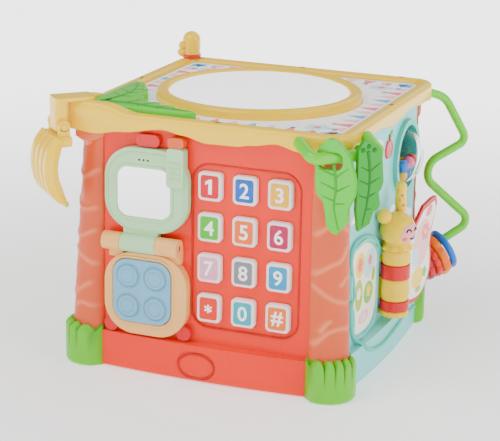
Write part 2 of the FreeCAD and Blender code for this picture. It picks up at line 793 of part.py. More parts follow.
def banana_bunch():
    """Bunch of four bananas that is the carrying handle, with two lugs round the pin."""
    reach, level = HANDLE_PIVOT
    pitch = number(S.banana_pitch)
    shape = Part.makeBox(36, 15, 7, Vector(-18, -reach - 10, level - 14.5))
    for index in range(4):
        shape = shape.fuse(one_banana(pitch * (index - 1.5)))
    for side in (-1, 1):
        inner = side * 11.7 - 2.3
        shape = shape.fuse(Part.makeBox(4.6, 10, 14, Vector(inner, -reach - 5, level - 14)))
        shape = shape.fuse(Part.makeCylinder(5, 4.6, Vector(inner, -reach, level),
                                             Vector(1, 0, 0)))
    bore = HANDLE_PIN / 2 + number(S.running_gap)
    hole = Part.makeCylinder(bore, 40, Vector(-20, -reach, level), Vector(1, 0, 0))
    keep(feature("banana_bunch", shape.cut(hole), FRONT_LEFT), "banana_bunch")


# ---------------------------------------------------------------- leaf bar

LIGHT_LEAF_U = -12.5
DARK_LEAF_U = 12


def leaf_bar():
    """Round bar across the front right corner, plugged into the frame at both ends."""
    half, reach = number(S.bar_half), number(S.bar_reach)
    level, root = number(S.bar_level), 134
    places = [Vector(-half, -root, level + 7), Vector(-half, -reach, level),
              Vector(half, -reach, level), Vector(half, -root, level + 7)]
    shape = tube(bent_path(places, (6, 6)), number(S.bar_size))
    return keep(feature("leaf_bar", shape, FRONT_RIGHT), "leaf_bar")


def light_leaf():
    """Leaf parallel to the front face; the bar crosses its eyelet at 45 degrees."""
    body = new_body("light_leaf")
    x = (S.bar_reach + LIGHT_LEAF_U) * DIAGONAL
    y = (S.bar_reach - LIGHT_LEAF_U) * DIAGONAL
    level = S.bar_level
    points = [(x + 6.5, level - 56), (x + 14, level - 47), (x + 14.5, level - 36),
              (x + 18.4, level - 28), (x + 18.5, level - 11), (x + 14.5, level + 3),
              (x + 6, level + 12), (x - 5, level + 12), (x - 11.3, level + 2),
              (x - 10.8, level - 14), (x - 8, level - 29), (x - 4.5, level - 32),
              (x - 2, level - 44)]
    face_prism(body, y - 2.5, y + 2.5, points, {3: 1, 6: 2, 9: 1, 12: 3})
    height = S.bar_size + 4
    top = level + S.bar_size / 2 + 0.1
    face_cut(body, y - 3, y + 3, (x, top - height / 2), S.bar_size * 2 + 1, height, 5)
    keep(turned(body, FRONT), "light_leaf")


def dark_leaf():
    """Leaf across the corner, with its eyelet behind the blade."""
    body = new_body("dark_leaf")
    level, back = S.bar_level, S.bar_reach + 5.5
    points = [(6, level - 54), (15, level - 49), (18, level - 40), (23, level - 35),
              (21.5, level - 26), (25, level - 17), (23.5, level), (18, level + 9),
              (9, level + 13), (4.5, level + 6), (4, level - 38)]
    face_prism(body, back, back + 4, points, {2: 1, 4: 1, 6: 2, 7: 1})
    eyelet = sketch_on(body, "YZ_Plane", DARK_LEAF_U - 3)
    circle(eyelet, (-S.bar_reach, level), S.bar_size + 6)
    pad(body, eyelet, 6)
    bore = sketch_on(body, "YZ_Plane", DARK_LEAF_U + 4)
    circle(bore, (-S.bar_reach, level), S.bar_size + S.running_gap * 2)
    pocket(body, bore, 8)
    keep(turned(body, FRONT_RIGHT), "dark_leaf")


# ---------------------------------------------------------------- keypad

def keys():
    """Twelve push buttons, each with a lip behind the panel that stops it falling out."""
    for name, centre in key_places():
        body = new_body(name)
        lip = S.key_lip * 2
        face_slab(body, PANEL_BACK - 3, PANEL_BACK - 0.6, centre, S.key_width + lip,
                  S.key_height + lip, S.key_corner)
        face_slab(body, PANEL_BACK - 0.6, PANEL + S.key_proud, centre, S.key_width,
                  S.key_height, S.key_corner)
        front = -number(PANEL + S.key_proud)
        fillet(body, 0.9, lambda edge: edge.BoundBox.YMax < front + 0.1)
        keep(turned(body, FRONT), name)


def keypad_electronics():
    """Silicone membrane behind the keys and the circuit board it lies on."""
    membrane = new_body("key_membrane")
    field = (S.keypad_u, S.keypad_v)
    width, height = S.key_column * 3 + 2, S.key_row * 4 + 1
    back = PANEL_BACK - 7
    face_slab(membrane, back, back + 1.8, field, width, height, 3)
    keep(turned(membrane, FRONT), "key_membrane")
    board = new_body("circuit_board")
    face_slab(board, back - 1.6, back, field, width + 12, height + 6)
    keep(turned(board, FRONT), "circuit_board")


# ---------------------------------------------------------------- phone

HINGE_REACH = PANEL + 7.8
HINGE_PIN = 4
AERIAL_U = -21.3


def cross_disc(body, low, high, reach, level, diameter):
    """Disc whose axis runs across the face, between two distances along it."""
    sketch = circle(sketch_on(body, "YZ_Plane", low), (-reach, level), diameter)
    return pad(body, sketch, high - low)


def cross_bore(body, low, high, reach, level, diameter):
    sketch = circle(sketch_on(body, "YZ_Plane", high), (-reach, level), diameter)
    return pocket(body, sketch, high - low)


def barrel_ends():
    """Left and right ends of the hinge barrel and of the flip's knuckle in it."""
    left = S.phone_u - S.barrel_width / 2 - 3
    knuckle = S.phone_u - S.knuckle_width / 2 - 4.5
    return left, knuckle, knuckle + S.knuckle_width, left + S.barrel_width


def phone_base():
    """Lower half of the play phone, with the outer knuckles of its hinge."""
    body = new_body("phone_base")
    left, knuckle, knuckle_end, right = barrel_ends()
    height = S.barrel_v - 7.7 - S.phone_low
    face_slab(body, PANEL, PANEL + S.phone_gauge, (S.phone_u, S.phone_low + height / 2),
              S.phone_width, height, S.phone_corner)
    for start, end in ((left, knuckle), (knuckle_end, right)):
        neck = [(start + 3, S.barrel_v - 13), (end - 0.3, S.barrel_v - 13),
                (end - 0.3, S.barrel_v), (start + 3, S.barrel_v)]
        face_prism(body, PANEL, PANEL + 6, neck)
        cross_disc(body, start, end - 0.15, HINGE_REACH, S.barrel_v, S.barrel_size)
    face_cut(body, PANEL + 2, PANEL + 20, (S.phone_u - 2.6, S.pad_v),
             S.pad_width + S.gap * 2, S.pad_height + S.gap * 2, 12)
    bore = HINGE_PIN + S.running_gap * 2
    cross_bore(body, left - 1, right + 1, HINGE_REACH, S.barrel_v, bore)
    return keep(turned(body, FRONT), "phone_base")


def phone_flip():
    """Lid of the phone, open against the panel, with the aerial column and mirror seat."""
    body = new_body("phone_flip")
    _, knuckle, knuckle_end, _ = barrel_ends()
    back, front = PANEL + 0.5, PANEL + 0.5 + S.flip_gauge
    height = S.flip_high - 3 - S.flip_low
    face_slab(body, back, front, (S.phone_u, S.flip_low + height / 2), S.phone_width, height,
              S.phone_corner)
    face_slab(body, back + 1, front + 3, (AERIAL_U, S.flip_high - 15), 14, 30, 3)
    neck = [(knuckle + 0.2, S.barrel_v), (knuckle_end - 0.3, S.barrel_v),
            (knuckle_end - 0.3, S.flip_low + 3), (knuckle + 0.2, S.flip_low + 3)]
    face_prism(body, back + 0.5, front, neck)
    cross_disc(body, knuckle + 0.15, knuckle_end - 0.15, HINGE_REACH, S.barrel_v,
               S.barrel_size)
    cross_bore(body, knuckle - 1, knuckle_end + 1, HINGE_REACH, S.barrel_v,
               HINGE_PIN + S.running_gap * 2)
    face_cut(body, front - 1.8, front + 1, MIRROR_PLACE, S.mirror_width, S.mirror_height, 9)
    keep(turned(body, FRONT), "phone_flip")


MIRROR_PLACE = (-48, 143.5)


def phone_details():
    """Mirror, aerial tip, hinge pin, push pad and the trim pieces of the phone."""
    front = PANEL + 0.5 + S.flip_gauge
    mirror = new_body("phone_mirror")
    face_slab(mirror, front - 1.8, front - 0.3, MIRROR_PLACE, S.mirror_width - S.gap,
              S.mirror_height - S.gap, 9)
    keep(turned(mirror, FRONT), "phone_mirror")
    tip = new_body("phone_antenna")
    face_slab(tip, PANEL + 2, front + 2, (AERIAL_U, S.flip_high + 4), 13, 8, 3)
    keep(turned(tip, FRONT), "phone_antenna")
    left, _, _, right = barrel_ends()
    pin = primitive("Cylinder", "hinge_pin", (left, -HINGE_REACH, S.barrel_v),
                    Rotation(Vector(0, 1, 0), 90), Radius=HINGE_PIN / 2, Height=right - left)
    keep(pin, "phone_hinge_pin")
    push = new_body("phone_button")
    centre = (S.phone_u - 2.6, S.pad_v)
    face_slab(push, PANEL + 3.6, PANEL + S.phone_gauge + 0.8, centre, S.pad_width,
              S.pad_height, 12)
    bumps = sketch_on(push, "XZ_Plane", PANEL + S.phone_gauge + 0.8)
    for across in (-1, 1):
        for up in (-1, 1):
            circle(bumps, (centre[0] + across * 11.3, centre[1] + up * 12), S.bump_size)
    pad(push, bumps, 2)
    crown = -number(PANEL + S.phone_gauge + 2.8)
    fillet(push, 1.6, lambda edge: edge.BoundBox.YMax < crown + 0.1)
    keep(turned(push, FRONT), "phone_button")


def phone_trim(base):
    """Red crest above the lid and the two red feet under the lower half."""
    crest = new_body("phone_crest")
    face_slab(crest, PANEL, PANEL + 4.5, (S.phone_u, S.flip_high + 2.6), 20, 9.6, 4.6)
    feet = new_body("phone_feet")
    for side in (-1, 1):
        face_disc(feet, PANEL, PANEL + 5,
                  (S.phone_u + side * (S.phone_width / 2 - 4), S.phone_low + 4.5), 12)
    feet_cut = boolean("Cut", "phone_feet_cut", feet, base)
    keep(group("phone_trim", [crest, feet_cut]), "phone_trim")


# ---------------------------------------------------------------- bee and its wing page

BEE_REACH = PANEL + S.bee_axis
HEAD_FORWARD = 1.8
HEAD_LEAN = -5
BANDS = ((41, 49), (67, 78.5))


def bee_body():
    """Standing bee: three body segments and a head on one core, tied to the panel."""
    body = new_body("bee_body")
    axis = (0, -BEE_REACH)
    plan_disc(body, S.bee_low, S.bee_neck + 4, axis, S.bee_core)
    segments = ((S.bee_low, 40.8), (49.2, 66.8), (78.7, S.bee_neck))
    for low, high in segments:
        plan_disc(body, low, high, axis, S.bee_size)
        plan_slab(body, low, high, (0, 1 - PANEL - 5), 8, 8)
    plan_disc(body, S.bee_neck, S.bee_neck + 18, axis, S.bee_size - 1)
    level = S.bee_neck + 18
    leaning = (HEAD_LEAN, -BEE_REACH - HEAD_FORWARD, level)
    head = primitive("Sphere", "bee_head", leaning, Radius=S.head_size / 2)
    tall = primitive("Cylinder", "bee_feeler", (6, -BEE_REACH, level + 8), Radius=4.6,
                     Height=23)
    cap = primitive("Sphere", "bee_feeler_cap", (6, -BEE_REACH, level + 31), Radius=4.6)
    knob = (HEAD_LEAN - 11, 6 - BEE_REACH, level + 12)
    side = primitive("Sphere", "bee_side_feeler", knob, Radius=6)
    keep(fused_at("bee_body", [body, head, tall, cap, side], RIGHT), "bee_body")


def page_outline(margin):
    """Wing page in its own plane: distance from the bee's axis and height."""
    return [(16 + margin, 38 + margin), (36, 36.5 + margin), (57 - margin, 47),
            (64 - margin, 62), (60 - margin, 84), (72 - margin, 111 - margin),
            (70 - margin, 117 - margin), (62, 117 - margin), (46, 114 - margin),
            (33, 104 - margin), (16 + margin, 97 - margin)]


PAGE_BULGES = {1: 2, 2: 1.5, 3: 1}


def on_page(body):
    """Turn a body drawn round the bee's axis to the rest place of the wing page."""
    centre = Rotation(Vector(0, 0, 1), RIGHT).multVec(Vector(0, -number(BEE_REACH), 0))
    angle = RIGHT - number(S.page_angle)
    body.Placement = Placement(centre, Rotation(Vector(0, 0, 1), angle))
    return body


def bee_page():
    """Wing that turns like a page, with the two red bands as its knuckles."""
    body = new_body("bee_page")
    back = 0 - S.page_gauge / 2
    outer = S.bee_size / 2 + 0.6
    face_prism(body, back, S.page_gauge / 2, page_outline(0), PAGE_BULGES)
    middle = (S.bee_low + S.bee_neck) / 2 + 4
    face_slab(body, back, S.page_gauge / 2, (outer + 3, middle), 6, 55)
    for low, high in BANDS:
        sketch = sketch_on(body, "XY_Plane", low + 0.1)
        circle(sketch, (0, 0), S.bee_size)
        circle(sketch, (0, 0), S.bee_core + S.running_gap * 2)
        pad(body, sketch, high - low - 0.2)
        face_slab(body, back, S.page_gauge / 2, (outer, (low + high) / 2), 7,
                  high - low - 0.4)
    keep(on_page(body), "bee_page")


def wing_print():
    body = new_body("wing_print")
    front = S.page_gauge / 2
    face_prism(body, front, front + 0.4, page_outline(3.5), PAGE_BULGES)
    keep(on_page(body), "wing_print")


# ---------------------------------------------------------------- rattle

RATTLE_DEPTH = PANEL - 10
SLEEVE = 56


def rattle_bezel():
    """Flanged sleeve in the panel that carries the ball's two pins."""
    body = new_body("rattle_bezel")
    place = (S.rattle_u, S.rattle_v)
    face_disc(body, PANEL_BACK - 18, PANEL, place, SLEEVE)
    face_disc(body, PANEL, PANEL + 3.5, place, S.rattle_bezel)
    face_bore(body, PANEL_BACK - 19, PANEL + 4, place, S.rattle_ball + 1.2)
    plan_bore(body, S.rattle_v - SLEEVE / 2 - 2, S.rattle_v + SLEEVE / 2 + 2,
              (S.rattle_u, -RATTLE_DEPTH), 5 + S.running_gap * 2)
    keep(turned(body, RIGHT), "rattle_bezel")


def rattle_ball():
    """Clear hollow ball with a stub pin above and below."""
    place = (S.rattle_u, -RATTLE_DEPTH)
    radius = S.rattle_ball / 2
    skin = primitive("Sphere", "ball_skin", (*place, S.rattle_v), Radius=radius)
    hollow = primitive("Sphere", "ball_hollow", (*place, S.rattle_v), Radius=radius - 1.6)
    upper = primitive("Cylinder", "upper_pin", (*place, S.rattle_v + radius - 1), Radius=2.5,
                      Height=3.8)
    lower = primitive("Cylinder", "lower_pin", (*place, S.rattle_v - radius - 2.8),
                      Radius=2.5, Height=3.8)
    shell = boolean("Cut", "ball_shell", skin, hollow)
    keep(fused_at("rattle_ball", [shell, upper, lower], RIGHT), "rattle_ball")


def rattle_beads():
    """Loose beads, gathered at the bottom of the ball."""
    places = [(0, 0, -18)]
    places += [(9 * math.cos(math.radians(60 * index)), 9 * math.sin(math.radians(60 * index)),
                -16.4) for index in range(6)]
    beads = [primitive("Sphere", "bead", (S.rattle_u + x, y - RATTLE_DEPTH, S.rattle_v + z),
                       Radius=4) for x, y, z in places]
    keep(turned(group("rattle_beads", beads), RIGHT), "rattle_beads")


# ---------------------------------------------------------------- rear pieces

def speaker():
    body = new_body("speaker")
    face_disc(body, PANEL_BACK - 4, PANEL_BACK, SPEAKER_PLACE, 50)
    face_disc(body, PANEL_BACK - 16, PANEL_BACK - 4, SPEAKER_PLACE, 26)
    keep(turned(body, REAR), "speaker")


def power_switch():
    """Sliding switch knob with a flange behind the slot."""
    body = new_body("power_switch")
    u, v = SWITCH_PLACE
    face_slab(body, PANEL_BACK - 2.4, PANEL_BACK - 0.2, (u - 4, v), 14, 10)
    face_slab(body, PANEL_BACK - 0.2, PANEL + 2.5, (u - 4, v), 8, 6)
    keep(turned(body, REAR), "power_switch")


def left_spinner():
    """Flower wheel on the left panel, on a pin with a retaining collar."""
    body = new_body("left_spinner")
    centre = (0, S.keypad_v)
    face_disc(body, PANEL + 0.5, PANEL + 6, centre, 44)
    petals = sketch_on(body, "XZ_Plane", PANEL + 0.5)
    outline(petals, *flower_outline(centre, 26, 8))
    pad(body, petals, 4)
    face_disc(body, PANEL_BACK - 0.5, PANEL + 0.5, centre, 8)
    face_disc(body, PANEL_BACK - 3, PANEL_BACK - 0.5, centre, 13)
    keep(turned(body, LEFT), "left_spinner")


def flower_outline(centre, radius, petals):
    """Points and bulges of a flower with round petals."""
    u, v = centre
    points, bulges = [], {}
    for index in range(petals):
        angle = 2 * math.pi * index / petals
        points.append((u + radius * math.cos(angle), v + radius * math.sin(angle)))
        bulges[index] = radius * 0.32
    return points, bulges


def spinner_post():
    """Turning post on the rear left corner of the frame, with two small side knobs."""
    place = (0, -POST_REACH)
    top = S.frame_top
    stem = primitive("Cylinder", "post_stem", (*place, DECK - 2), Radius=3, Height=6.5)
    column = primitive("Cylinder", "post_column", (*place, top + 0.2), Radius=7.5, Height=16)
    dome = primitive("Sphere", "post_dome", (*place, top + 15.2), Radius=7.6)
    low_knob = primitive("Sphere", "low_knob", (9, -POST_REACH, top + 5.2), Radius=3.6)
    high_knob = primitive("Sphere", "high_knob", (8, -POST_REACH, top + 11), Radius=3.6)
    pieces = [stem, column, dome, low_knob, high_knob]
    keep(fused_at("spinner_post", pieces, REAR_LEFT), "spinner_post")


# ---------------------------------------------------------------- build and write

def build():
    wire = bead_wire()
    bar = leaf_bar()
    for make in (front_panel, right_panel, left_panel, rear_panel, base_plate, battery_door,
                 batteries, wire_beads, deck_label, drum_ring, drum_skin, drum_tray,
                 palm_leaf_cover, banana_bracket, banana_pin, banana_bunch, light_leaf,
                 dark_leaf, keys, keypad_electronics, phone_flip, phone_details, bee_body,
                 bee_page, wing_print, rattle_bezel, rattle_ball, rattle_beads, speaker,
                 power_switch, left_spinner, spinner_post):
        make()
    corner_columns(wire)
    top_frame(wire, bar)
    phone_trim(phone_base())
    DOC.recompute()


def check():
    """Stop on any object that failed or any sub-part that isn't a valid shape."""
    for thing in DOC.Objects:
        if {"Invalid", "Error"} & set(thing.State):
            raise RuntimeError(f"{thing.Label} failed: {thing.State}")
    for name, thing in NODES.items():
        if thing.Shape.isNull() or not thing.Shape.isValid():
            raise RuntimeError(f"{name} has no valid shape")


def write():
    os.makedirs("parts", exist_ok=True)
    for name, thing in NODES.items():
        thing.Shape.exportStep(f"parts/{name}.step")
        print(f"{name}: {thing.Shape.Volume:.0f} mm3, {len(thing.Shape.Solids)} solid(s)")


build()
check()
write()
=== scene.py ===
"""Looks of the baby activity cube: finishes, moulded detail, prints, light and camera."""
import math
from dataclasses import dataclass, field
from enum import Enum
from itertools import pairwise
from typing import Callable, ClassVar, Optional, Sequence, Union

import bmesh
import bpy
from mathutils import Matrix, Vector


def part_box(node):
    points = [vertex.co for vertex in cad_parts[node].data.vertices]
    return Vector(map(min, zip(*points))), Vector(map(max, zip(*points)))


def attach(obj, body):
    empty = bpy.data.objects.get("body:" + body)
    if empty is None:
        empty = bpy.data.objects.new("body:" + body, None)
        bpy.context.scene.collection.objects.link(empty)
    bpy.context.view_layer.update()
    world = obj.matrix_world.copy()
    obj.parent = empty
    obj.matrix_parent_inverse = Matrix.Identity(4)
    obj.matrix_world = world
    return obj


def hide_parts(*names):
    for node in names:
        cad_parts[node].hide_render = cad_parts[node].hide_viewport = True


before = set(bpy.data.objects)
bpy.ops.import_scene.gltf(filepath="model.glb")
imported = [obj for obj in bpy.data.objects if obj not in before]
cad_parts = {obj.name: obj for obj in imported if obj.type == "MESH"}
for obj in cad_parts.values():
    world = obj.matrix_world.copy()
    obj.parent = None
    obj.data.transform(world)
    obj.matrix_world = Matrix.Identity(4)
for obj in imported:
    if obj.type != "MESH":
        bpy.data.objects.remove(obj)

MM = 0.001
Flat = tuple[float, float]
Spot = tuple[float, float, float]
Colour = tuple[float, float, float]


class Side(Enum):
    """Side or corner that a piece is drawn on, as the turn of its frame about Z."""

    FRONT = 0.0
    FRONT_RIGHT = 45.0
    RIGHT = 90.0
    REAR_RIGHT = 135.0
    REAR = 180.0
    REAR_LEFT = 225.0
    LEFT = 270.0
    FRONT_LEFT = 315.0

    def place(self, spot: Spot) -> Vector:
        """Real place of a spot of this side.

        Args:
            spot: distance across, distance outwards from the centre axis and height, in mm.

        Returns:
            The place in metres in the row frame.
        """
        turn = math.radians(self.value)
        across, outward, height = spot
        return MM * Vector((across * math.cos(turn) + outward * math.sin(turn),
                            across * math.sin(turn) - outward * math.cos(turn), height))


class Plane(Enum):
    """Plane that an outline is drawn in."""

    FACE = "face"
    PLAN = "plan"


def tint(red: int, green: int, blue: int) -> Colour:
    """Linear colour of an 8-bit display colour, deepened a little for bright light.

    Args:
        red: red, 0 to 255.
        green: green, 0 to 255.
        blue: blue, 0 to 255.

    Returns:
        The linear colour.
    """
    def linear(value: int) -> float:
        share = value / 255
        flat = share / 12.92 if share <= 0.04045 else ((share + 0.055) / 1.055) ** 2.4
        return flat ** 1.2
    return linear(red), linear(green), linear(blue)


def shade(colour: Colour, factor: float) -> Colour:
    """A colour made darker or lighter.

    Args:
        colour: the linear colour.
        factor: below 1 is darker, above 1 is lighter.

    Returns:
        The new colour, kept inside 0 to 1.
    """
    red, green, blue = (min(1.0, part * factor) for part in colour)
    return red, green, blue


# ---------------------------------------------------------------- node graphs


class Wire:
    """A number on its way through a node tree; arithmetic on it adds Math nodes."""

    def __init__(self, graph: "Graph", socket: bpy.types.NodeSocket) -> None:
        """Wrap an output.

        Args:
            graph: the graph that the output belongs to.
            socket: the output socket.
        """
        self.graph = graph
        self.socket = socket

    def __add__(self, other: "Number") -> "Wire":
        """Sum.

        Args:
            other: what is added.

        Returns:
            The sum.
        """
        return self.graph.math("ADD", self, other)

    def __radd__(self, other: "Number") -> "Wire":
        """Sum with the number first.

        Args:
            other: what it is added to.

        Returns:
            The sum.
        """
        return self.graph.math("ADD", other, self)

    def __sub__(self, other: "Number") -> "Wire":
        """Difference.

        Args:
            other: what is taken away.

        Returns:
            The difference.
        """
        return self.graph.math("SUBTRACT", self, other)

    def __rsub__(self, other: "Number") -> "Wire":
        """Difference with the number first.

        Args:
            other: what this is taken from.

        Returns:
            The difference.
        """
        return self.graph.math("SUBTRACT", other, self)

    def __mul__(self, other: "Number") -> "Wire":
        """Product.

        Args:
            other: the factor.

        Returns:
            The product.
        """
        return self.graph.math("MULTIPLY", self, other)

    def __rmul__(self, other: "Number") -> "Wire":
        """Product with the number first.

        Args:
            other: the factor.

        Returns:
            The product.
        """
        return self.graph.math("MULTIPLY", other, self)

    def __pow__(self, other: "Number") -> "Wire":
        """Power.

        Args:
            other: the exponent.

        Returns:
            The power.
        """
        return self.graph.math("POWER", self, other)

    def ramp(self, low: float, high: float) -> "Wire":
        """Smooth step from 0 at low to 1 at high.

        Args:
            low: value that becomes 0.
            high: value that becomes 1.

        Returns:
            The stepped value.
        """
        return self.graph.node("ShaderNodeMapRange", "Result",
                               {"interpolation_type": "SMOOTHSTEP"},
                               {"Value": self, "From Min": low, "From Max": high})


Number = Union[float, Wire]
Feed = Union[float, Wire, Colour, tuple]


class Graph:
    """The node tree of one material."""

    def __init__(self, name: str) -> None:
        """Make a material with an output and a principled shader.

        Args:
            name: name of the material.
        """
        self.material = bpy.data.materials.new(name)
        self.material.use_nodes = True
        self.tree = self.material.node_tree
        self.tree.nodes.clear()
        self.shader = self.tree.nodes.new("ShaderNodeBsdfPrincipled")
        output = self.tree.nodes.new("ShaderNodeOutputMaterial")
        self.tree.links.new(self.shader.outputs["BSDF"], output.inputs["Surface"])

    def feed(self, node: bpy.types.Node, key: Union[int, str], value: Feed) -> None:
        """Give an input its wire or its constant.

        Args:
            node: the node.
            key: name or number of the input.
            value: wire, number, colour or vector.
        """
        socket = node.inputs[key]
        if isinstance(value, Wire):
            self.tree.links.new(value.socket, socket)
        elif socket.type == "RGBA":
            socket.default_value = (*value, 1.0)
        else:
            socket.default_value = value

    def node(self, kind: str, take: Union[int, str], settings: dict[str, object],
             inputs: dict[Union[int, str], Feed]) -> Wire:
        """Add any node.

        Args:
            kind: node type.
            take: name or number of the output that is wanted.
            settings: properties of the node, set before its inputs.
            inputs: values of its inputs.

        Returns:
            The wanted output.
        """
        made = self.tree.nodes.new(kind)
        for key, value in settings.items():
            setattr(made, key, value)
        for place, value in inputs.items():
            self.feed(made, place, value)
        return Wire(self, made.outputs[take])

    def math(self, operation: str, first: Number, second: Number) -> Wire:
        """Math node of two numbers.

        Args:
            operation: the Math node's operation.
            first: first number.
            second: second number.

        Returns:
            The result.
        """
        return self.node("ShaderNodeMath", 0, {"operation": operation},
                         {0: first, 1: second})

    def mix(self, share: Number, first: Feed, second: Feed) -> Wire:
        """Mix of two colours.

        Args:
            share: 0 for the first colour, 1 for the second.
            first: first colour.
            second: second colour.

        Returns:
            The mixed colour.
        """
        return self.node("ShaderNodeMix", 2, {"data_type": "RGBA"},
                         {0: share, 6: first, 7: second})

    def stretched(self, scale: Spot) -> Wire:
        """Object coordinates, stretched along the axes.

        Args:
            scale: factor of each axis.

        Returns:
            The coordinates.
        """
        place = self.node("ShaderNodeTexCoord", "Object", {}, {})
        return self.node("ShaderNodeVectorMath", 0, {"operation": "MULTIPLY"},
                         {0: place, 1: scale})

    def noise(self, scale: float, detail: float = 3.0,
              stretch: Spot = (1.0, 1.0, 1.0)) -> Wire:
        """Cloudy noise in object space.

        Args:
            scale: waves per metre.
            detail: octaves.
            stretch: factor of each axis.

        Returns:
            The noise, about 0 to 1.
        """
        return self.node("ShaderNodeTexNoise", "Fac", {},
                         {"Vector": self.stretched(stretch), "Scale": scale,
                          "Detail": detail})

    def groove_shade_and_lines_mask(self) -> Wire:
        """Share of painted groove shade and of the lighter bark lines, from the mesh.

        Returns:
            0 on the skin, 1 in a groove that takes painted shade and on a raised bark line.
        """
        return self.node("ShaderNodeAttribute", "Fac", {"attribute_name": "groove_shade_and_lines"}, {})

    def wear(self) -> Wire:
        """Where an outer edge has been rubbed.

        Returns:
            0 on flat places and up to 1 on sharp outer edges.
        """
        pointed = self.node("ShaderNodeNewGeometry", "Pointiness", {}, {})
        return pointed.ramp(0.505, 0.56) * self.noise(90.0, 4.0)

    def relief(self, height: Number, strength: float, radius: float) -> Wire:
        """Normal of a rounded, textured surface.

        Args:
            height: height of the texture, 0 to 1.
            strength: how strongly the texture shows.
            radius: radius that sharp edges are softened by, in metres.

        Returns:
            The normal.
        """
        soft = self.node("ShaderNodeBevel", "Normal", {"samples": 4}, {"Radius": radius})
        return self.node("ShaderNodeBump", "Normal", {},
                         {"Height": height, "Strength": strength, "Distance": 0.0004,
                          "Normal": soft})

    def surface(self, values: dict[str, Feed]) -> None:
        """Set the inputs of the shader.

        Args:
            values: constants and wires by input name.
        """
        for key, value in values.items():
            self.feed(self.shader, key, value)


# ---------------------------------------------------------------- finishes


@dataclass(frozen=True)
class Finish:
    """Material of a surface; each finish is made once and then shared."""

    name: str
    made: ClassVar[dict[str, bpy.types.Material]] = {}

    def material(self) -> bpy.types.Material:
        """The material of this finish.

        Returns:
            The shared material.
        """
        if self.name not in Finish.made:
            graph = Graph(self.name)
            self.paint(graph)
            Finish.made[self.name] = graph.material
        return Finish.made[self.name]

    def paint(self, graph: Graph) -> None:
        """Wire up the shader.

        Args:
            graph: graph of the new material.
        """
        raise NotImplementedError


@dataclass(frozen=True)
class Moulded(Finish):
    """Moulded plastic: faint flow clouds, fine grain and rubbed edges, with painted shade in
    grooves and notches and a lighter colour on raised bark lines.
    """

    colour: Colour = (0.8, 0.8, 0.8)
    gloss: float = 0.32
    coat: float = 0.04
    grain: float = 0.05
    # groove colour is laid on by the mesh's groove mask at share depth: painted shade in
    # grooves and notches, a lighter colour on raised bark lines
    groove: Colour = (0.3, 0.1, 0.02)
    depth: float = 0.0
    radius: float = 0.0009
    glow: float = 0.03

    def paint(self, graph: Graph) -> None:
        """Wire up the shader.

        Args:
            graph: graph of the new material.
        """
        flow = graph.noise(26.0, 3.0)
        fine = graph.noise(1500.0, 2.0)
        smear = graph.noise(110.0, 5.0, (1.0, 1.0, 0.35))
        tone = graph.mix(flow, shade(self.colour, 0.93), shade(self.colour, 1.05))
        tone = graph.mix(graph.wear() * 0.15, tone, shade(self.colour, 1.3))
        # painted shade in grooves and notches, and the lighter raised bark lines, from the
        # mesh's groove mask
        if self.depth > 0:
            tone = graph.mix(graph.groove_shade_and_lines_mask() * self.depth, tone, self.groove)
        graph.surface({
            "Base Color": tone,
            "Roughness": self.gloss + (smear - 0.5) * 0.16,
            "Coat Weight": self.coat,
            "Coat Roughness": 0.12,
            "Specular IOR Level": 0.25,
            "Subsurface Weight": self.glow,
            "Subsurface Radius": (1.0, 0.6, 0.4),
            "Subsurface Scale": 0.003,
            "Normal": graph.relief(fine, self.grain, self.radius),
        })


@dataclass(frozen=True)
class GlowingPrint(Finish):
    """Printed film or card: ink with a fine screen and a faint paper tooth, with a painted
    glow in its own colour.
    """

    colour: Colour = (0.9, 0.9, 0.9)
    gloss: float = 0.38
    # lift is the strength of the painted glow in the ink's own colour
    lift: float = 0.3

    def paint(self, graph: Graph) -> None:
        """Wire up the shader.

        Args:
            graph: graph of the new material.
        """
        dots = graph.node("ShaderNodeTexVoronoi", "Distance", {},
                          {"Vector": graph.stretched((1.0, 1.0, 1.0)), "Scale": 1800.0})
        tooth = graph.noise(700.0, 4.0)
        patch = graph.noise(40.0, 2.0)
        ink = graph.mix(dots.ramp(0.1, 0.6) * 0.5, shade(self.colour, 0.96),
                        shade(self.colour, 1.06))
        ink = graph.mix(patch * 0.35, ink, shade(self.colour, 0.92))
        graph.surface({
            "Base Color": ink,
            "Roughness": self.gloss + (tooth - 0.5) * 0.2,
            "Coat Weight": 0.05,
            # painted glow: the print gives off light in its own colour
            "Emission Color": ink,
            "Emission Strength": self.lift,
            "Normal": graph.relief(tooth, 0.04, 0.0002),
        })


@dataclass(frozen=True)
class Foil(Finish):
    """Child-safe mirror foil: bright, with a slow waviness and fine scratches."""

    colour: Colour = (0.92, 0.93, 0.94)

    def paint(self, graph: Graph) -> None:
        """Wire up the shader.

        Args:
            graph: graph of the new material.
        """
        wave = graph.noise(35.0, 1.0)
        scratch = graph.noise(900.0, 3.0, (0.15, 1.0, 1.0))
        haze = graph.noise(60.0, 4.0)
        graph.surface({
            "Base Color": graph.mix(haze, self.colour, shade(self.colour, 0.95)),
            "Metallic": 1.0,
            "Roughness": 0.1 + scratch.ramp(0.62, 0.8) * 0.15 + haze * 0.05,
            "Normal": graph.relief(wave, 0.12, 0.0003),
        })


@dataclass(frozen=True)
class Clear(Finish):
    """Clear moulded plastic with faint flow lines and fingerprints."""

    colour: Colour = (0.97, 0.99, 1.0)
    ior: float = 1.14

    def paint(self, graph: Graph) -> None:
        """Wire up the shader.

        Args:
            graph: graph of the new material.
        """
        print_haze = graph.noise(70.0, 5.0)
        flow = graph.noise(14.0, 1.0)
        graph.surface({
            "Base Color": graph.mix(flow, self.colour, shade(self.colour, 0.97)),
            "Roughness": 0.02 + print_haze.ramp(0.5, 0.8) * 0.12,
            "IOR": self.ior,
            "Transmission Weight": 1.0,
            "Normal": graph.relief(flow, 0.03, 0.0003),
        })


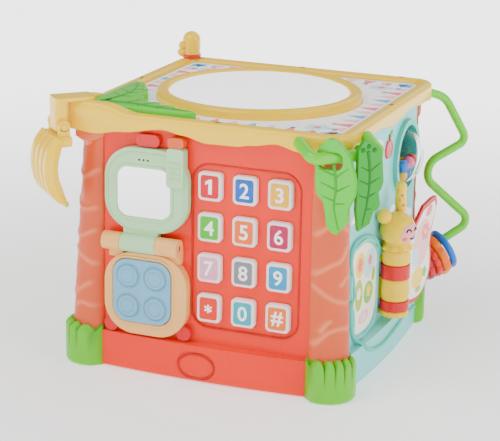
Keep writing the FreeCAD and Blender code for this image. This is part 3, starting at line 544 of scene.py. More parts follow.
@dataclass(frozen=True)
class Metal(Finish):
    """Bare turned steel with drawing lines and a few dull spots."""

    colour: Colour = (0.62, 0.63, 0.65)

    def paint(self, graph: Graph) -> None:
        """Wire up the shader.

        Args:
            graph: graph of the new material.
        """
        lines = graph.noise(2600.0, 2.0, (0.05, 0.05, 1.0))
        spots = graph.noise(160.0, 5.0)
        graph.surface({
            "Base Color": graph.mix(spots, self.colour, shade(self.colour, 0.8)),
            "Metallic": 1.0,
            "Roughness": 0.28 + lines * 0.12 + spots * 0.08,
            "Normal": graph.relief(lines, 0.08, 0.0003),
        })


@dataclass(frozen=True)
class GlowingMembrane(Finish):
    """Drum head: white sheet with faint turning marks, a rubbed middle and a painted white
    glow.
    """

    colour: Colour = (0.93, 0.93, 0.94)
    # lift is the strength of the painted white glow
    lift: float = 1.2

    def paint(self, graph: Graph) -> None:
        """Wire up the shader.

        Args:
            graph: graph of the new material.
        """
        rings = graph.node("ShaderNodeTexWave", "Fac",
                           {"wave_type": "RINGS", "rings_direction": "Z"},
                           {"Vector": graph.stretched((1.0, 1.0, 0.0)), "Scale": 160.0,
                            "Distortion": 0.6, "Detail": 1.0})
        rub = graph.noise(24.0, 4.0)
        graph.surface({
            "Base Color": graph.mix(rub, self.colour, shade(self.colour, 0.96)),
            "Roughness": 0.34 + rub * 0.16,
            "Subsurface Weight": 0.15,
            "Subsurface Scale": 0.004,
            # painted white glow, so the head looks brightly lit
            "Emission Color": (1.0, 1.0, 1.0),
            "Emission Strength": self.lift,
            "Normal": graph.relief(rings, 0.05, 0.0008),
        })


@dataclass(frozen=True)
class Board(Finish):
    """Circuit board: solder mask over a grid of tracks."""

    colour: Colour = (0.02, 0.16, 0.06)

    def paint(self, graph: Graph) -> None:
        """Wire up the shader.

        Args:
            graph: graph of the new material.
        """
        tracks = graph.node("ShaderNodeTexBrick", "Fac", {},
                            {"Vector": graph.stretched((1.0, 1.0, 1.0)), "Scale": 220.0,
                             "Mortar Size": 0.08})
        dust = graph.noise(140.0, 4.0)
        tone = graph.mix(tracks, self.colour, shade(self.colour, 2.2))
        graph.surface({
            "Base Color": graph.mix(dust * 0.2, tone, (0.3, 0.3, 0.25)),
            "Roughness": 0.35 + dust * 0.2,
            "Normal": graph.relief(tracks, 0.2, 0.0003),
        })


@dataclass(frozen=True)
class Ground(Finish):
    """Pale studio floor, barely mottled, that glows more with distance."""

    colour: Colour = (0.95, 0.95, 0.95)
    lift: float = 2.6

    def paint(self, graph: Graph) -> None:
        """Wire up the shader.

        Args:
            graph: graph of the new material.
        """
        mottle = graph.noise(5.0, 5.0)
        away = graph.node("ShaderNodeVectorMath", "Value", {"operation": "LENGTH"},
                          {0: graph.stretched((1.0, 1.0, 1.0))}).ramp(0.15, 1.1)
        graph.surface({
            "Base Color": graph.mix(mottle, self.colour, shade(self.colour, 0.98)),
            "Roughness": 0.55 + mottle * 0.15,
            "Emission Color": graph.mix(away, (0.24, 0.24, 0.24), (1.0, 1.0, 1.0)),
            "Emission Strength": self.lift,
        })


ORANGE_RED = Moulded("orange_red_abs", tint(246, 60, 22), gloss=0.3, grain=0.06)
# darker orange-red: painted shade for the grooves of the front panel
ORANGE_GROOVE_SHADE = Moulded("orange_red_groove_shade", tint(206, 42, 16), gloss=0.4)
TEAL = Moulded("teal_abs", tint(134, 224, 222), gloss=0.34)
TEAL_DEEP = Moulded("teal_border", tint(84, 205, 190), gloss=0.3)
LIME_PANEL = Moulded("lime_panel_abs", tint(150, 214, 90), gloss=0.34)
# groove: darker yellow, painted shade for grooves
YELLOW = Moulded("yellow_abs", tint(255, 212, 6), gloss=0.24, coat=0.16, depth=0.7,
                 groove=tint(214, 158, 6))
# groove: lighter salmon painted on the trunk's raised bark lines
BARK = Moulded("bark_abs", tint(226, 106, 62), gloss=0.4, grain=0.14, depth=0.75,
               groove=tint(244, 158, 116))
SALMON = Moulded("bark_collar", tint(236, 134, 94), gloss=0.4, grain=0.14)
# groove: darker green, painted shade in the foot's recessed flutes
GRASS = Moulded("grass_foot_abs", tint(118, 205, 36), gloss=0.3, depth=0.6,
                groove=tint(70, 160, 20))
LIME = Moulded("lime_wire_pe", tint(116, 214, 44), gloss=0.22, coat=0.16)
# groove: darker green, painted shade for grooves
LEAF_LIGHT = Moulded("leaf_light_pe", tint(88, 208, 44), gloss=0.26, coat=0.12, depth=0.6,
                     groove=tint(40, 150, 20))
LEAF_DARK = Moulded("leaf_dark_pe", tint(24, 170, 26), gloss=0.26, coat=0.12)
PALM = Moulded("palm_leaf_pe", tint(104, 214, 56), gloss=0.3, coat=0.12)
VEIN = Moulded("leaf_vein_pe", tint(58, 172, 30), gloss=0.3)
VEIN_DARK = Moulded("dark_leaf_vein_pe", tint(12, 132, 22), gloss=0.3)
MINT = Moulded("mint_abs", tint(184, 224, 176), gloss=0.32)
PEACH = Moulded("peach_abs", tint(246, 192, 120), gloss=0.3)
SKY = Moulded("sky_pad_abs", tint(134, 190, 216), gloss=0.28)
CRIMSON = Moulded("crimson_abs", tint(222, 30, 40), gloss=0.26, coat=0.16)
AMBER = Moulded("amber_translucent", tint(226, 106, 10), gloss=0.2, coat=0.3, glow=0.4)
BLUE = Moulded("blue_ring_abs", tint(34, 128, 226), gloss=0.22, coat=0.16)
ORANGE = Moulded("orange_bead_abs", tint(255, 132, 24), gloss=0.24, coat=0.16)
# groove: darker red, painted shade in the bead's notches
RED = Moulded("red_bead_abs", tint(236, 52, 34), gloss=0.24, coat=0.16, depth=0.5,
              groove=tint(170, 20, 16))
# groove: darker crimson, painted shade in the bead's notches
RED_DEEP = Moulded("crimson_bead_abs", tint(214, 34, 66), gloss=0.24, coat=0.16, depth=0.5,
                   groove=tint(150, 12, 40))
PINK_FACE = Moulded("bee_face_paint", tint(255, 178, 176), gloss=0.4)
BLUSH = Moulded("bee_blush_paint", tint(246, 120, 120), gloss=0.45)
DARK = Moulded("dark_abs", tint(44, 44, 48), gloss=0.42)
# dark yellow-brown: painted shade inside the rim's slots
SLOT_SHADE = Moulded("rim_slot_shade", tint(150, 118, 12), gloss=0.5)
KEY_RIM = Moulded("key_rim_abs", tint(250, 236, 232), gloss=0.3)
WHITE_INK = GlowingPrint("white_ink", (0.92, 0.92, 0.93))
SILICONE = Moulded("grey_silicone", tint(196, 200, 204), gloss=0.6, coat=0.0)
CELL = Moulded("cell_wrap", tint(46, 52, 62), gloss=0.3)
STEEL = Metal("turned_steel")
FOIL = Foil("mirror_foil")
GLASS = Clear("clear_ball")
GLOWING_SKIN = GlowingMembrane("glowing_drum_head")
CARD = GlowingPrint("label_card", (0.9, 0.9, 0.91))
BOARD = Board("circuit_board")
FLOOR = Ground("studio_floor")
INKS: dict[str, GlowingPrint] = {
    "pink": GlowingPrint("ink_pink", tint(240, 120, 140)),
    "rose": GlowingPrint("ink_rose", tint(250, 190, 192)),
    "blue": GlowingPrint("ink_blue", tint(96, 176, 224)),
    "pale": GlowingPrint("ink_pale_blue", tint(190, 228, 240)),
    "yellow": GlowingPrint("ink_yellow", tint(255, 216, 70)),
    "olive": GlowingPrint("ink_olive", tint(170, 198, 84)),
    "green": GlowingPrint("ink_green", tint(120, 200, 110)),
    "red": GlowingPrint("ink_red", tint(226, 46, 46)),
    "orange": GlowingPrint("ink_orange", tint(250, 150, 60)),
    "brown": GlowingPrint("ink_brown", tint(150, 92, 52)),
    "cream": GlowingPrint("ink_cream", tint(250, 244, 226)),
}


# ---------------------------------------------------------------- outlines


def box_outline(centre: Flat, width: float, height: float, corner: float,
                steps: int = 5) -> list[Flat]:
    """Rounded rectangle.

    Args:
        centre: middle of the rectangle.
        width: full width.
        height: full height.
        corner: corner radius.
        steps: spans in each corner.

    Returns:
        The points, anticlockwise.
    """
    across, up = width / 2 - corner, height / 2 - corner
    points = []
    for index, (right, top) in enumerate(((1, 1), (-1, 1), (-1, -1), (1, -1))):
        for step in range(steps + 1):
            turn = math.radians(90 * index + 90 * step / steps)
            points.append((centre[0] + right * across + corner * math.cos(turn),
                           centre[1] + top * up + corner * math.sin(turn)))
    return points


def oval(centre: Flat, width: float, height: float, count: int = 28,
         tilt: float = 0.0) -> list[Flat]:
    """Ellipse.

    Args:
        centre: middle of the ellipse.
        width: full width.
        height: full height.
        count: number of points.
        tilt: turn of the ellipse in degrees.

    Returns:
        The points, anticlockwise.
    """
    lean = math.radians(tilt)
    points = []
    for index in range(count):
        turn = 2 * math.pi * index / count
        across, up = width / 2 * math.cos(turn), height / 2 * math.sin(turn)
        points.append((centre[0] + across * math.cos(lean) - up * math.sin(lean),
                       centre[1] + across * math.sin(lean) + up * math.cos(lean)))
    return points


def softened(points: Sequence[Flat], rounds: int = 2) -> list[Flat]:
    """Closed outline with its corners cut into a smooth curve.

    Args:
        points: corners of the outline.
        rounds: number of times that the corners are cut.

    Returns:
        The smoother outline.
    """
    smooth = list(points)
    for _ in range(rounds):
        finer = []
        for first, second in zip(smooth, smooth[1:] + smooth[:1]):
            for share in (0.25, 0.75):
                finer.append((first[0] + (second[0] - first[0]) * share,
                              first[1] + (second[1] - first[1]) * share))
        smooth = finer
    return smooth


def flower(centre: Flat, size: float, petals: int, depth: float = 0.3,
           count: int = 60) -> list[Flat]:
    """Round flower or cloud edge.

    Args:
        centre: middle of the flower.
        size: full width.
        petals: number of petals.
        depth: depth of the notches as a share of the radius.
        count: number of points.

    Returns:
        The points, anticlockwise.
    """
    points = []
    for index in range(count):
        turn = 2 * math.pi * index / count
        reach = size / 2 * (1 - depth + depth * abs(math.cos(petals * turn / 2)))
        points.append((centre[0] + reach * math.cos(turn),
                       centre[1] + reach * math.sin(turn)))
    return points


def cloud(centre: Flat, width: float) -> list[Flat]:
    """Cloud with a flat lower edge.

    Args:
        centre: middle of the lower edge.
        width: full width.

    Returns:
        The points, anticlockwise.
    """
    points = []
    for index in range(49):
        turn = math.pi * index / 48
        reach = width / 2 * (0.82 + 0.18 * abs(math.sin(2.5 * turn + 0.4)))
        points.append((centre[0] + reach * math.cos(turn),
                       centre[1] + reach * 0.62 * math.sin(turn)))
    return points


def inset(points: Sequence[Flat], distance: float) -> list[Flat]:
    """Anticlockwise outline moved inwards.

    Args:
        points: the outline.
        distance: how far it moves.

    Returns:
        The moved outline.
    """
    moved = []
    for before, here, after in zip([points[-1], *points[:-1]], points,
                                   [*points[1:], points[0]]):
        first = Vector((here[0] - before[0], here[1] - before[1])).normalized()
        second = Vector((after[0] - here[0], after[1] - here[1])).normalized()
        normal = Vector((-first.y - second.y, first.x + second.x))
        if normal.length < 1e-6:
            normal = Vector((-second.y, second.x))
        normal.normalize()
        stretch = 1 / max(0.6, abs(normal.dot(Vector((-second.y, second.x)))))
        moved.append((here[0] + normal.x * distance * stretch,
                      here[1] + normal.y * distance * stretch))
    return moved


def anticlockwise(points: Sequence[Flat]) -> list[Flat]:
    """Outline with its points in anticlockwise order.

    Args:
        points: the outline.

    Returns:
        The same outline, turned round if need be.
    """
    twice = sum(first[0] * second[1] - second[0] * first[1]
                for first, second in zip(points, [*points[1:], points[0]]))
    return list(points) if twice > 0 else list(reversed(points))


def between(stations: Sequence[Flat], place: float) -> float:
    """Smooth height between known stations.

    Args:
        stations: places and heights, by rising place.
        place: the place that is wanted.

    Returns:
        The height there.
    """
    if place <= stations[0][0]:
        return stations[0][1]
    for (low, start), (high, end) in pairwise(stations):
        if place <= high:
            share = (place - low) / (high - low)
            return start + (end - start) * share * share * (3 - 2 * share)
    return stations[-1][1]


def distance_to(line: Sequence[Flat], place: Flat) -> float:
    """Distance from a place to a polyline.

    Args:
        line: points of the line.
        place: the place.

    Returns:
        The shortest distance.
    """
    here = Vector(place)
    best = math.inf
    for first, second in pairwise(line):
        start, run = Vector(first), Vector(second) - Vector(first)
        share = max(0.0, min(1.0, (here - start).dot(run) / run.length_squared))
        best = min(best, (here - start - run * share).length)
    return best


def curve(points: Sequence[Sequence[float]], steps: int = 6) -> list[tuple[float, ...]]:
    """Smooth open line through points.

    Args:
        points: points that the line goes through.
        steps: spans between two points.

    Returns:
        The finer line.
    """
    ends = [points[0], *points, points[-1]]
    line = []
    for index in range(len(points) - 1):
        group = ends[index:index + 4]
        for step in range(steps):
            share = step / steps
            line.append(tuple(
                0.5 * (2 * b + (c - a) * share + (2 * a - 5 * b + 4 * c - d) * share ** 2
                       + (3 * b - a - 3 * c + d) * share ** 3)
                for a, b, c, d in zip(*group)))
    line.append(tuple(points[-1]))
    return line


# ---------------------------------------------------------------- mesh building


class Clay:
    """A mesh under construction, drawn in millimetres on one side of the cube."""

    def __init__(self, side: Side = Side.FRONT) -> None:
        """Start an empty mesh.

        Args:
            side: side that it is drawn on.
        """
        self.side = side
        self.mesh = bmesh.new()
        # vertex layer that says where painted groove shade and the lighter bark lines go
        self.groove_shade_and_lines = self.mesh.verts.layers.float.new("groove_shade_and_lines")
        self.paint = 0

    def ring(self, spots: Sequence[Spot], groove_shade_and_lines: Optional[Sequence[float]] = None
             ) -> list[bmesh.types.BMVert]:
        """Add a row of vertices.

        Args:
            spots: their places on the side.
            groove_shade_and_lines: share of painted groove shade and of lighter bark line
                colour at each, 0 to 1.

        Returns:
            The vertices.
        """
        row = [self.mesh.verts.new(self.side.place(spot)) for spot in spots]
        for vert, depth in zip(row, groove_shade_and_lines or ()):
            vert[self.groove_shade_and_lines] = depth
        return row

    def face(self, corners: Sequence[bmesh.types.BMVert]) -> None:
        """Add a face in the current paint.

        Args:
            corners: its vertices.
        """
        made = self.mesh.faces.new(corners)
        made.material_index = self.paint

    def skin(self, rows: Sequence[Sequence[bmesh.types.BMVert]], closed: bool = True,
             caps: bool = True) -> None:
        """Join rows of vertices with faces.

        Args:
            rows: rows of equal length.
            closed: whether each row is a loop.
            caps: whether the first and last loops are filled.
        """
        for low, high in pairwise(rows):
            count = len(low) if closed else len(low) - 1
            for index in range(count):
                after = (index + 1) % len(low)
                self.face((low[index], low[after], high[after], high[index]))
        if caps:
            self.face(list(reversed(rows[0])))
            self.face(rows[-1])

    def slab(self, outline: Sequence[Flat], low: float, high: float,
             rounding: float = 0.6, plane: Plane = Plane.FACE, steps: int = 3) -> None:
        """Plate with a rounded outer edge.

        Args:
            outline: its outline.
            low: distance of its back.
            high: distance of its front.
            rounding: radius of the front edge.
            plane: plane that the outline is in.
            steps: spans of the rounding.
        """
        shape = anticlockwise(outline)
        levels = [(0.0, low)]
        for step in range(steps + 1):
            turn = math.pi / 2 * step / steps
            levels.append((rounding * (1 - math.cos(turn)),
                           high - rounding * (1 - math.sin(turn))))
        rows = []
        for distance, level in levels:
            points = inset(shape, distance) if distance > 0 else shape
            if plane is Plane.FACE:
                rows.append(self.ring([(across, level, up) for across, up in points]))
            else:
                rows.append(self.ring([(across, -up, level) for across, up in points]))
        self.skin(rows)

    def rod(self, line: Sequence[Spot], radius: Union[float, Sequence[float]],
            sides: int = 12, closed: bool = False, flat: float = 1.0) -> None:
        """Rod along a line.

        Args:
            line: points of its middle.
            radius: one radius, or one for each point.
            sides: sides of its section.
            closed: whether the line is a loop.
            flat: height of the section as a share of its width.
        """
        points = [Vector(spot) for spot in line]
        radii = [radius] * len(points) if isinstance(radius, (int, float)) else list(radius)
        guide = Vector((0.0, 1.0, 0.0))
        rows = []
        for index, here in enumerate(points):
            before = points[index - 1] if index or closed else here
            after = points[(index + 1) % len(points)] if index + 1 < len(points) or closed \
                else here
            run = (after - before).normalized()
            if abs(run.dot(guide)) > 0.95:
                guide = Vector((1.0, 0.0, 0.0))
            across = run.cross(guide).normalized()
            up = across.cross(run)
            row = []
            for side in range(sides):
                turn = 2 * math.pi * side / sides
                row.append(tuple(here + across * math.cos(turn) * radii[index]
                                 + up * math.sin(turn) * radii[index] * flat))
            rows.append(self.ring(row))
        if closed:
            rows.append(rows[0])
        self.skin(rows, caps=not closed)

    def turned(self, centre: Spot, axis: Spot, profile: Sequence[Flat], sides: int = 40,
               ripple: Optional[Callable[[float, float], float]] = None) -> None:
        """Turned shape.

        Args:
            centre: a place on its axis.
            axis: direction of its axis on the side.
            profile: radius and distance along the axis of each point.
            sides: number of sides.
            ripple: change of the radius at an angle and a radius.
        """
        run = Vector(axis).normalized()
        first = run.cross(Vector((0.13, 0.7, 0.31))).normalized()
        second = run.cross(first)
        rows = []
        for radius, along in profile:
            row = []
            for side in range(sides):
                turn = 2 * math.pi * side / sides
                reach = radius + (ripple(turn, radius) if ripple else 0.0)
                row.append(tuple(Vector(centre) + run * along
                                 + (first * math.cos(turn) + second * math.sin(turn))
                                 * reach))
            rows.append(self.ring(row))
        self.skin(rows)

    def ball(self, centre: Spot, size: Spot, sides: int = 28) -> None:
        """Rounded knob.

        Args:
            centre: its middle.
            size: half its width, depth and height.
            sides: number of sides.
        """
        rows = []
        half = sides // 2
        for step in range(1, half):
            lean = math.pi * step / half
            rows.append(self.ring([
                (centre[0] + size[0] * math.sin(lean) * math.cos(turn),
                 centre[1] + size[1] * math.sin(lean) * math.sin(turn),
                 centre[2] - size[2] * math.cos(lean))
                for turn in (2 * math.pi * side / sides for side in range(sides))]))
        self.skin(rows)

    def figure(self, text: str, centre: Flat, height: float, low: float,
               high: float) -> None:
        """Raised figure of a dial or keypad.

        Args:
            text: the figure.
            centre: its middle on the side.
            height: height of the figure.
            low: distance of its back.
            high: distance of its front.
        """
        font = bpy.data.curves.new("figure", "FONT")
        font.body = text
        font.resolution_u = 6
        font.offset = 0.018
        drawn = bpy.data.objects.new("figure", font)
        flat = bpy.data.meshes.new_from_object(drawn)
        spread = [[vert.co[axis] for vert in flat.vertices] for axis in (0, 1)]
        middle = [(min(values) + max(values)) / 2 for values in spread]
        scale = height / (max(spread[1]) - min(spread[1]))
        for level in (low, high):
            row = self.ring([(centre[0] + (vert.co.x - middle[0]) * scale, level,
                              centre[1] + (vert.co.y - middle[1]) * scale)
                             for vert in flat.vertices])
            for polygon in flat.polygons:
                self.face([row[index] for index in polygon.vertices])
        bpy.data.objects.remove(drawn)

    def finish(self, name: str, body: str, slot: str, finishes: Sequence[Finish],
               nodes: Sequence[str] = (), sharp: float = 40.0) -> bpy.types.Object:
        """Turn the mesh into a piece.

        Args:
            name: name of the piece.
            body: body that it rides on.
            slot: name of a material slot; not used.
            finishes: finishes, in the order of the paints.
            nodes: nodes that it stands for.
            sharp: angle in degrees above which an edge stays sharp.

        Returns:
            The piece.
        """
        bmesh.ops.recalc_face_normals(self.mesh, faces=self.mesh.faces)
        data = bpy.data.meshes.new(name)
        self.mesh.to_mesh(data)
        self.mesh.free()
        data.shade_smooth()
        data.set_sharp_from_angle(angle=math.radians(sharp))
        piece = bpy.data.objects.new(name, data)
        bpy.context.collection.objects.link(piece)
        for finish in finishes:
            data.materials.append(finish.material())
        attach(piece, body)
        if nodes:
            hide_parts(*nodes)
        return piece


def dress(node: str, finish: Finish) -> None:
    """Give a node of the model its finish.

    Args:
        node: name of the node.
        finish: its finish.
    """
    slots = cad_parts[node].material_slots
    for place in slots:
        place.material = finish.material()


def low_of(node: str) -> Vector:
    """Lowest corner of a node in millimetres.

    Args:
        node: name of the node.

    Returns:
        The corner.
    """
    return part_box(node)[0] / MM


def high_of(node: str) -> Vector:
    """Highest corner of a node in millimetres.

    Args:
        node: name of the node.

    Returns:
        The corner.
    """
    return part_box(node)[1] / MM


def middle_of(node: str) -> Vector:
    """Middle of a node in millimetres.

    Args:
        node: name of the node.

    Returns:
        The middle of its box.
    """
    return (low_of(node) + high_of(node)) / 2


# ---------------------------------------------------------------- shell


@dataclass
class Shell:
    """Panels, floor and hidden parts, with the prints on the panels."""

    print_gauge: float = 0.35
    clouds: tuple[tuple[Side, float, float, float], ...] = (
        (Side.RIGHT, 62, 96, 34), (Side.RIGHT, -20, 172, 30), (Side.RIGHT, 70, 58, 26),
        (Side.RIGHT, -62, 128, 30), (Side.RIGHT, 26, 112, 20), (Side.RIGHT, 8, 62, 16),
        (Side.REAR, 55, 150, 40), (Side.REAR, 20, 108, 26), (Side.REAR, -58, 84, 34),
        (Side.REAR, -20, 60, 24), (Side.LEFT, 55, 160, 34), (Side.LEFT, -56, 148, 40),
        (Side.LEFT, 60, 66, 30), (Side.LEFT, -58, 60, 26))

    def panel(self) -> float:
        """Distance of the panels' face from the centre axis.

        Returns:
            The distance in mm.
        """
        return -high_of("phone_base").y

    def build(self) -> None:
        """Dress the panels and add their prints."""
        for node, finish in {
                "front_panel": ORANGE_RED, "right_panel": TEAL, "left_panel": LIME_PANEL,
                "rear_panel": TEAL, "base_plate": TEAL, "battery_door": TEAL,
                "batteries": CELL, "key_membrane": SILICONE, "circuit_board": BOARD,
                "speaker": DARK, "power_switch": DARK, "drum_tray": YELLOW,
                "banana_pin": YELLOW, "phone_hinge_pin": STEEL}.items():
            dress(node, finish)
        self.sky()
        self.apple()
        self.front_trim()

    def sky(self) -> None:
        """Clouds on the side and rear panels."""
        face = self.panel()
        for index, (side, across, up, width) in enumerate(self.clouds):
            clay = Clay(side)
            clay.slab(cloud((across, up), width), face - 0.2, face + self.print_gauge, 0.15)
            clay.finish(f"cloud_{index}", "cube", "card", [WHITE_INK])

    def apple(self) -> None:
        """Small apple with a leaf beside the rattle."""
        face = self.panel()
        clay = Clay(Side.RIGHT)
        across, up = 8.7, 167
        fruit = [(across + 9 * math.cos(turn) * (1 - 0.1 * abs(math.sin(turn))),
                  up + 8.2 * math.sin(turn) - 1.8 * math.exp(-(4 * math.cos(turn)) ** 2)
                  * math.copysign(1, math.sin(turn)))
                 for turn in (2 * math.pi * step / 40 for step in range(40))]
        clay.slab(fruit, face - 0.2, face + 1.2, 0.8)
        clay.paint = 1
        clay.slab(oval((across + 5, up + 10.5), 9, 4.2, tilt=35), face - 0.2, face + 0.8, 0.4)
        clay.paint = 2
        clay.rod([(across, face + 0.6, up + 6), (across + 0.8, face + 0.7, up + 11.5)], 0.7, 8)
        clay.finish("panel_apple", "cube", "red", [CRIMSON, LEAF_LIGHT, INKS["brown"]])

    def front_trim(self) -> None:
        """Painted shade as darker rods: in the groove round the keypad and round the blank
        oval of the front trim.
        """
        face = self.panel()
        low, high = low_of("key_star"), high_of("key_3")
        centre = ((low.x + high.x) / 2, (low.z + high.z) / 2)
        clay = Clay(Side.FRONT)
        edge = box_outline(centre, high.x - low.x + 9.4, high.z - low.z + 8.4, 14, 8)
        # darker rod of painted shade along the groove round the keypad
        clay.rod([(across, face, up) for across, up in edge], 0.8, 8, closed=True)
        clay.finish("keypad_groove_shade", "cube", "orange_red", [ORANGE_GROOVE_SHADE])
        clay = Clay(Side.FRONT)
        proud = -low_of("front_panel").y
        rim = oval((-3, 12.5), 29, 19, 48)
        # darker ring of painted shade round the blank oval of the trim
        clay.rod([(across, proud - 0.2, up) for across, up in rim], 0.9, 8, closed=True)
        clay.finish("trim_oval_shade", "cube", "orange_red", [ORANGE_GROOVE_SHADE])


@dataclass
class Trunk:
    """Tree-trunk corner with raised lines in its bark."""

    side: Side
    node: str
    lines: tuple[tuple[Flat, ...], ...]
    root: float = 6.4
    crown: float = 3.4
    face: float = 134.64
    low: float = 28.0
    foot: float = 34.0
    half: float = 15.65
    taper: float = 0.4
    columns: int = 36
    rows: int = 110
    width: float = 1.6
    ridge: float = 1.2

    def section(self, height: float, top: float) -> tuple[list[Spot], list[float]]:
        """One ring of the trunk.

        Args:
            height: height of the ring.
            top: height of the trunk's top.

        Returns:
            The spots of the ring, and how strongly each takes the lighter bark line colour.
        """
        share = max(0.0, min(1.0, (height - self.foot) / (top - self.foot)))
        bulge = self.root + (self.crown - self.root) * share
        half = self.half - self.taper * share
        radius = (half ** 2 + bulge ** 2) / (2 * bulge)
        sweep = math.atan2(half, radius - bulge)
        spots, groove_shade_and_lines = [], []
        for index in range(self.columns + 1):
            place = -1 + 2 * index / self.columns
            across = radius * math.sin(sweep * place)
            depth = max(math.exp(-(distance_to(line, (across, height)) / self.width) ** 2)
                        for line in self.lines)
            swell = 0.35 * math.sin(height * 0.13 + across * 0.25)
            swell += 0.2 * math.sin(height * 0.41 - across * 0.5)
            edge = 1 - abs(place) ** 8
            reach = self.face + bulge - radius + radius * math.cos(sweep * place)
            spots.append((across, reach + (self.ridge * depth + swell * 0.6) * edge, height))
            # the raised bark lines take a lighter painted colour
            groove_shade_and_lines.append(depth * edge)
        back = [(14.85, 133.64), (12.73, 131.5), (-12.73, 131.5), (-14.85, 133.64)]
        spots += [(across, reach, height) for across, reach in back]
        return spots, groove_shade_and_lines + [0.0] * len(back)

    def build(self) -> None:
        """Build the trunk and its collar."""
        top = high_of(self.node).z
        clay = Clay(self.side)
        rows = []
        for step in range(self.rows + 1):
            rows.append(clay.ring(*self.section(self.low + (top - self.low) * step
                                                / self.rows, top)))
        clay.skin(rows)
        clay.finish(f"{self.node}_bark", "cube", "bark", [BARK], [self.node], 50)
        self.collar(top)

    def collar(self, top: float) -> None:
        """Add the cut branch stub below the frame.

        Args:
            top: height of the trunk's top.
        """
        clay = Clay(self.side)
        points = softened([(-10, top - 22), (8, top - 24), (11, top - 12), (9, top - 4),
                           (-9, top - 4), (-12, top - 12)], 2)
        clay.slab(points, self.face + 1, self.face + self.crown + 1.3, 1.2)
        clay.finish(f"{self.node}_collar", "cube", "bark", [SALMON])


@dataclass
class Foot:
    """Grass foot that wraps the lower end of a trunk."""

    side: Side
    flutes: int = 5
    half: float = 18.6
    front: float = 144.18
    bulge: float = 9.0
    high: float = 34.0
    rounding: float = 5.0

    def ring_at(self, share: float) -> tuple[list[Spot], list[float]]:
        """One ring of the foot.

        Args:
            share: height as a share of the foot.

        Returns:
            The spots of the ring, and how much painted shade each takes in the flutes.
        """
        spots, groove_shade_and_lines = [], []
        count = 60
        for index in range(count + 1):
            place = -1 + 2 * index / count
            wave = abs(math.sin(math.pi * self.flutes * (place + 1) / 2))
            groove = (1 - wave) ** 3 * max(0.0, min(1.0, (share - 0.4) * 3))
            top = self.high - 5.0 * (1 - wave) ** 1.5 - 1.5 * place * place
            height = share * top
            under = max(0.0, height - (top - self.rounding)) / self.rounding
            over = max(0.0, 3 - height) / 3
            shrink = self.rounding * (1 - math.sqrt(max(0.0, 1 - under ** 2)))
            shrink += 2.6 * (1 - math.sqrt(max(0.0, 1 - over ** 2)))
            half = self.half - shrink * 0.3
            rounded = math.sqrt(max(0.0, 1 - (0.86 * place) ** 2)) - 0.51
            reach = self.front + self.bulge * rounded / 0.49 - shrink - groove * 1.6
            spots.append((place * half, reach, height))
            # the recessed flutes take painted shade
            groove_shade_and_lines.append(groove)
        top = self.high - 2
        back = [(18.38, 137.18), (14.85, 133.64), (-14.85, 133.64), (-18.38, 137.18)]
        spots += [(across, reach, share * top) for across, reach in back]
        return spots, groove_shade_and_lines + [0.0] * len(back)

    def build(self, nodes: Sequence[str]) -> None:
        """Build the foot.

        Args:
            nodes: nodes that it stands for.
        """
        clay = Clay(self.side)
        shares = [0, 0.01, 0.03, 0.06, 0.1, 0.2, 0.35, 0.5, 0.65, 0.8, 0.87, 0.91, 0.94,
                  0.965, 0.985, 0.995, 1.0]
        clay.skin([clay.ring(*self.ring_at(share)) for share in shares])
        name = f"foot_{self.side.name.lower()}"
        clay.finish(name, "cube", "lime", [GRASS], nodes, 55)


BARK_LINES: dict[str, tuple[tuple[Flat, ...], ...]] = {
    "trunk_front_right": (
        tuple(curve([(-14, 160), (-6, 152), (2, 150), (12, 158)])),
        tuple(curve([(-14, 128), (-5, 136), (4, 134), (12, 128)])),
        tuple(curve([(-15, 98), (-6, 105), (3, 109), (9, 118)])),
        tuple(curve([(-15.5, 89), (-7.5, 82), (0, 78), (9, 76)])),
        tuple(curve([(-15.5, 44), (-7.5, 54), (1, 57), (11, 56)])),
        tuple(curve([(-11.5, 55), (-9, 60), (-6, 63)])),
        tuple(curve([(14, 98), (8, 95), (3, 90)]))),
    "trunk_front_left": (
        tuple(curve([(-13, 160), (-4, 152), (5, 150), (14, 156)])),
        tuple(curve([(-14, 136), (-5, 128), (4, 124), (13, 126)])),
        tuple(curve([(-14, 112), (-6, 104), (3, 102), (13, 108)])),
        tuple(curve([(-13, 86), (-5, 92), (5, 88), (14, 82)])),
        tuple(curve([(-14, 62), (-6, 56), (3, 58), (12, 66)])),
        tuple(curve([(2, 46), (8, 50), (14, 48)]))),
}
BARK_LINES["trunk_rear_right"] = BARK_LINES["trunk_front_left"]
BARK_LINES["trunk_rear_left"] = BARK_LINES["trunk_front_right"]


@dataclass
class Corners:
    """The four trunks and their grass feet; the front pair reaches further out."""

    root: float = 18.6
    crown: float = 8.0
    foot_front: float = 148.68
    foot_bulge: float = 11.25
    sides: dict[str, Side] = field(default_factory=lambda: {
        "trunk_front_right": Side.FRONT_RIGHT, "trunk_rear_right": Side.REAR_RIGHT,
        "trunk_rear_left": Side.REAR_LEFT, "trunk_front_left": Side.FRONT_LEFT})

    def build(self) -> None:
        """Build every corner."""
        for node, side in self.sides.items():
            if side in (Side.FRONT_RIGHT, Side.FRONT_LEFT):
                Trunk(side, node, BARK_LINES[node], self.root, self.crown).build()
                Foot(side, front=self.foot_front, bulge=self.foot_bulge).build(["grass_feet"])
            else:
                Trunk(side, node, BARK_LINES[node]).build()
                Foot(side).build(["grass_feet"])
        clay = Clay(Side.FRONT)
        clay.slab(softened([(-107, 177), (-84, 179.5), (-82, 192), (-107, 192)], 1),
                  104, 108.4, 1.4)
        clay.finish("branch_block", "cube", "bark", [SALMON])


# ---------------------------------------------------------------- top


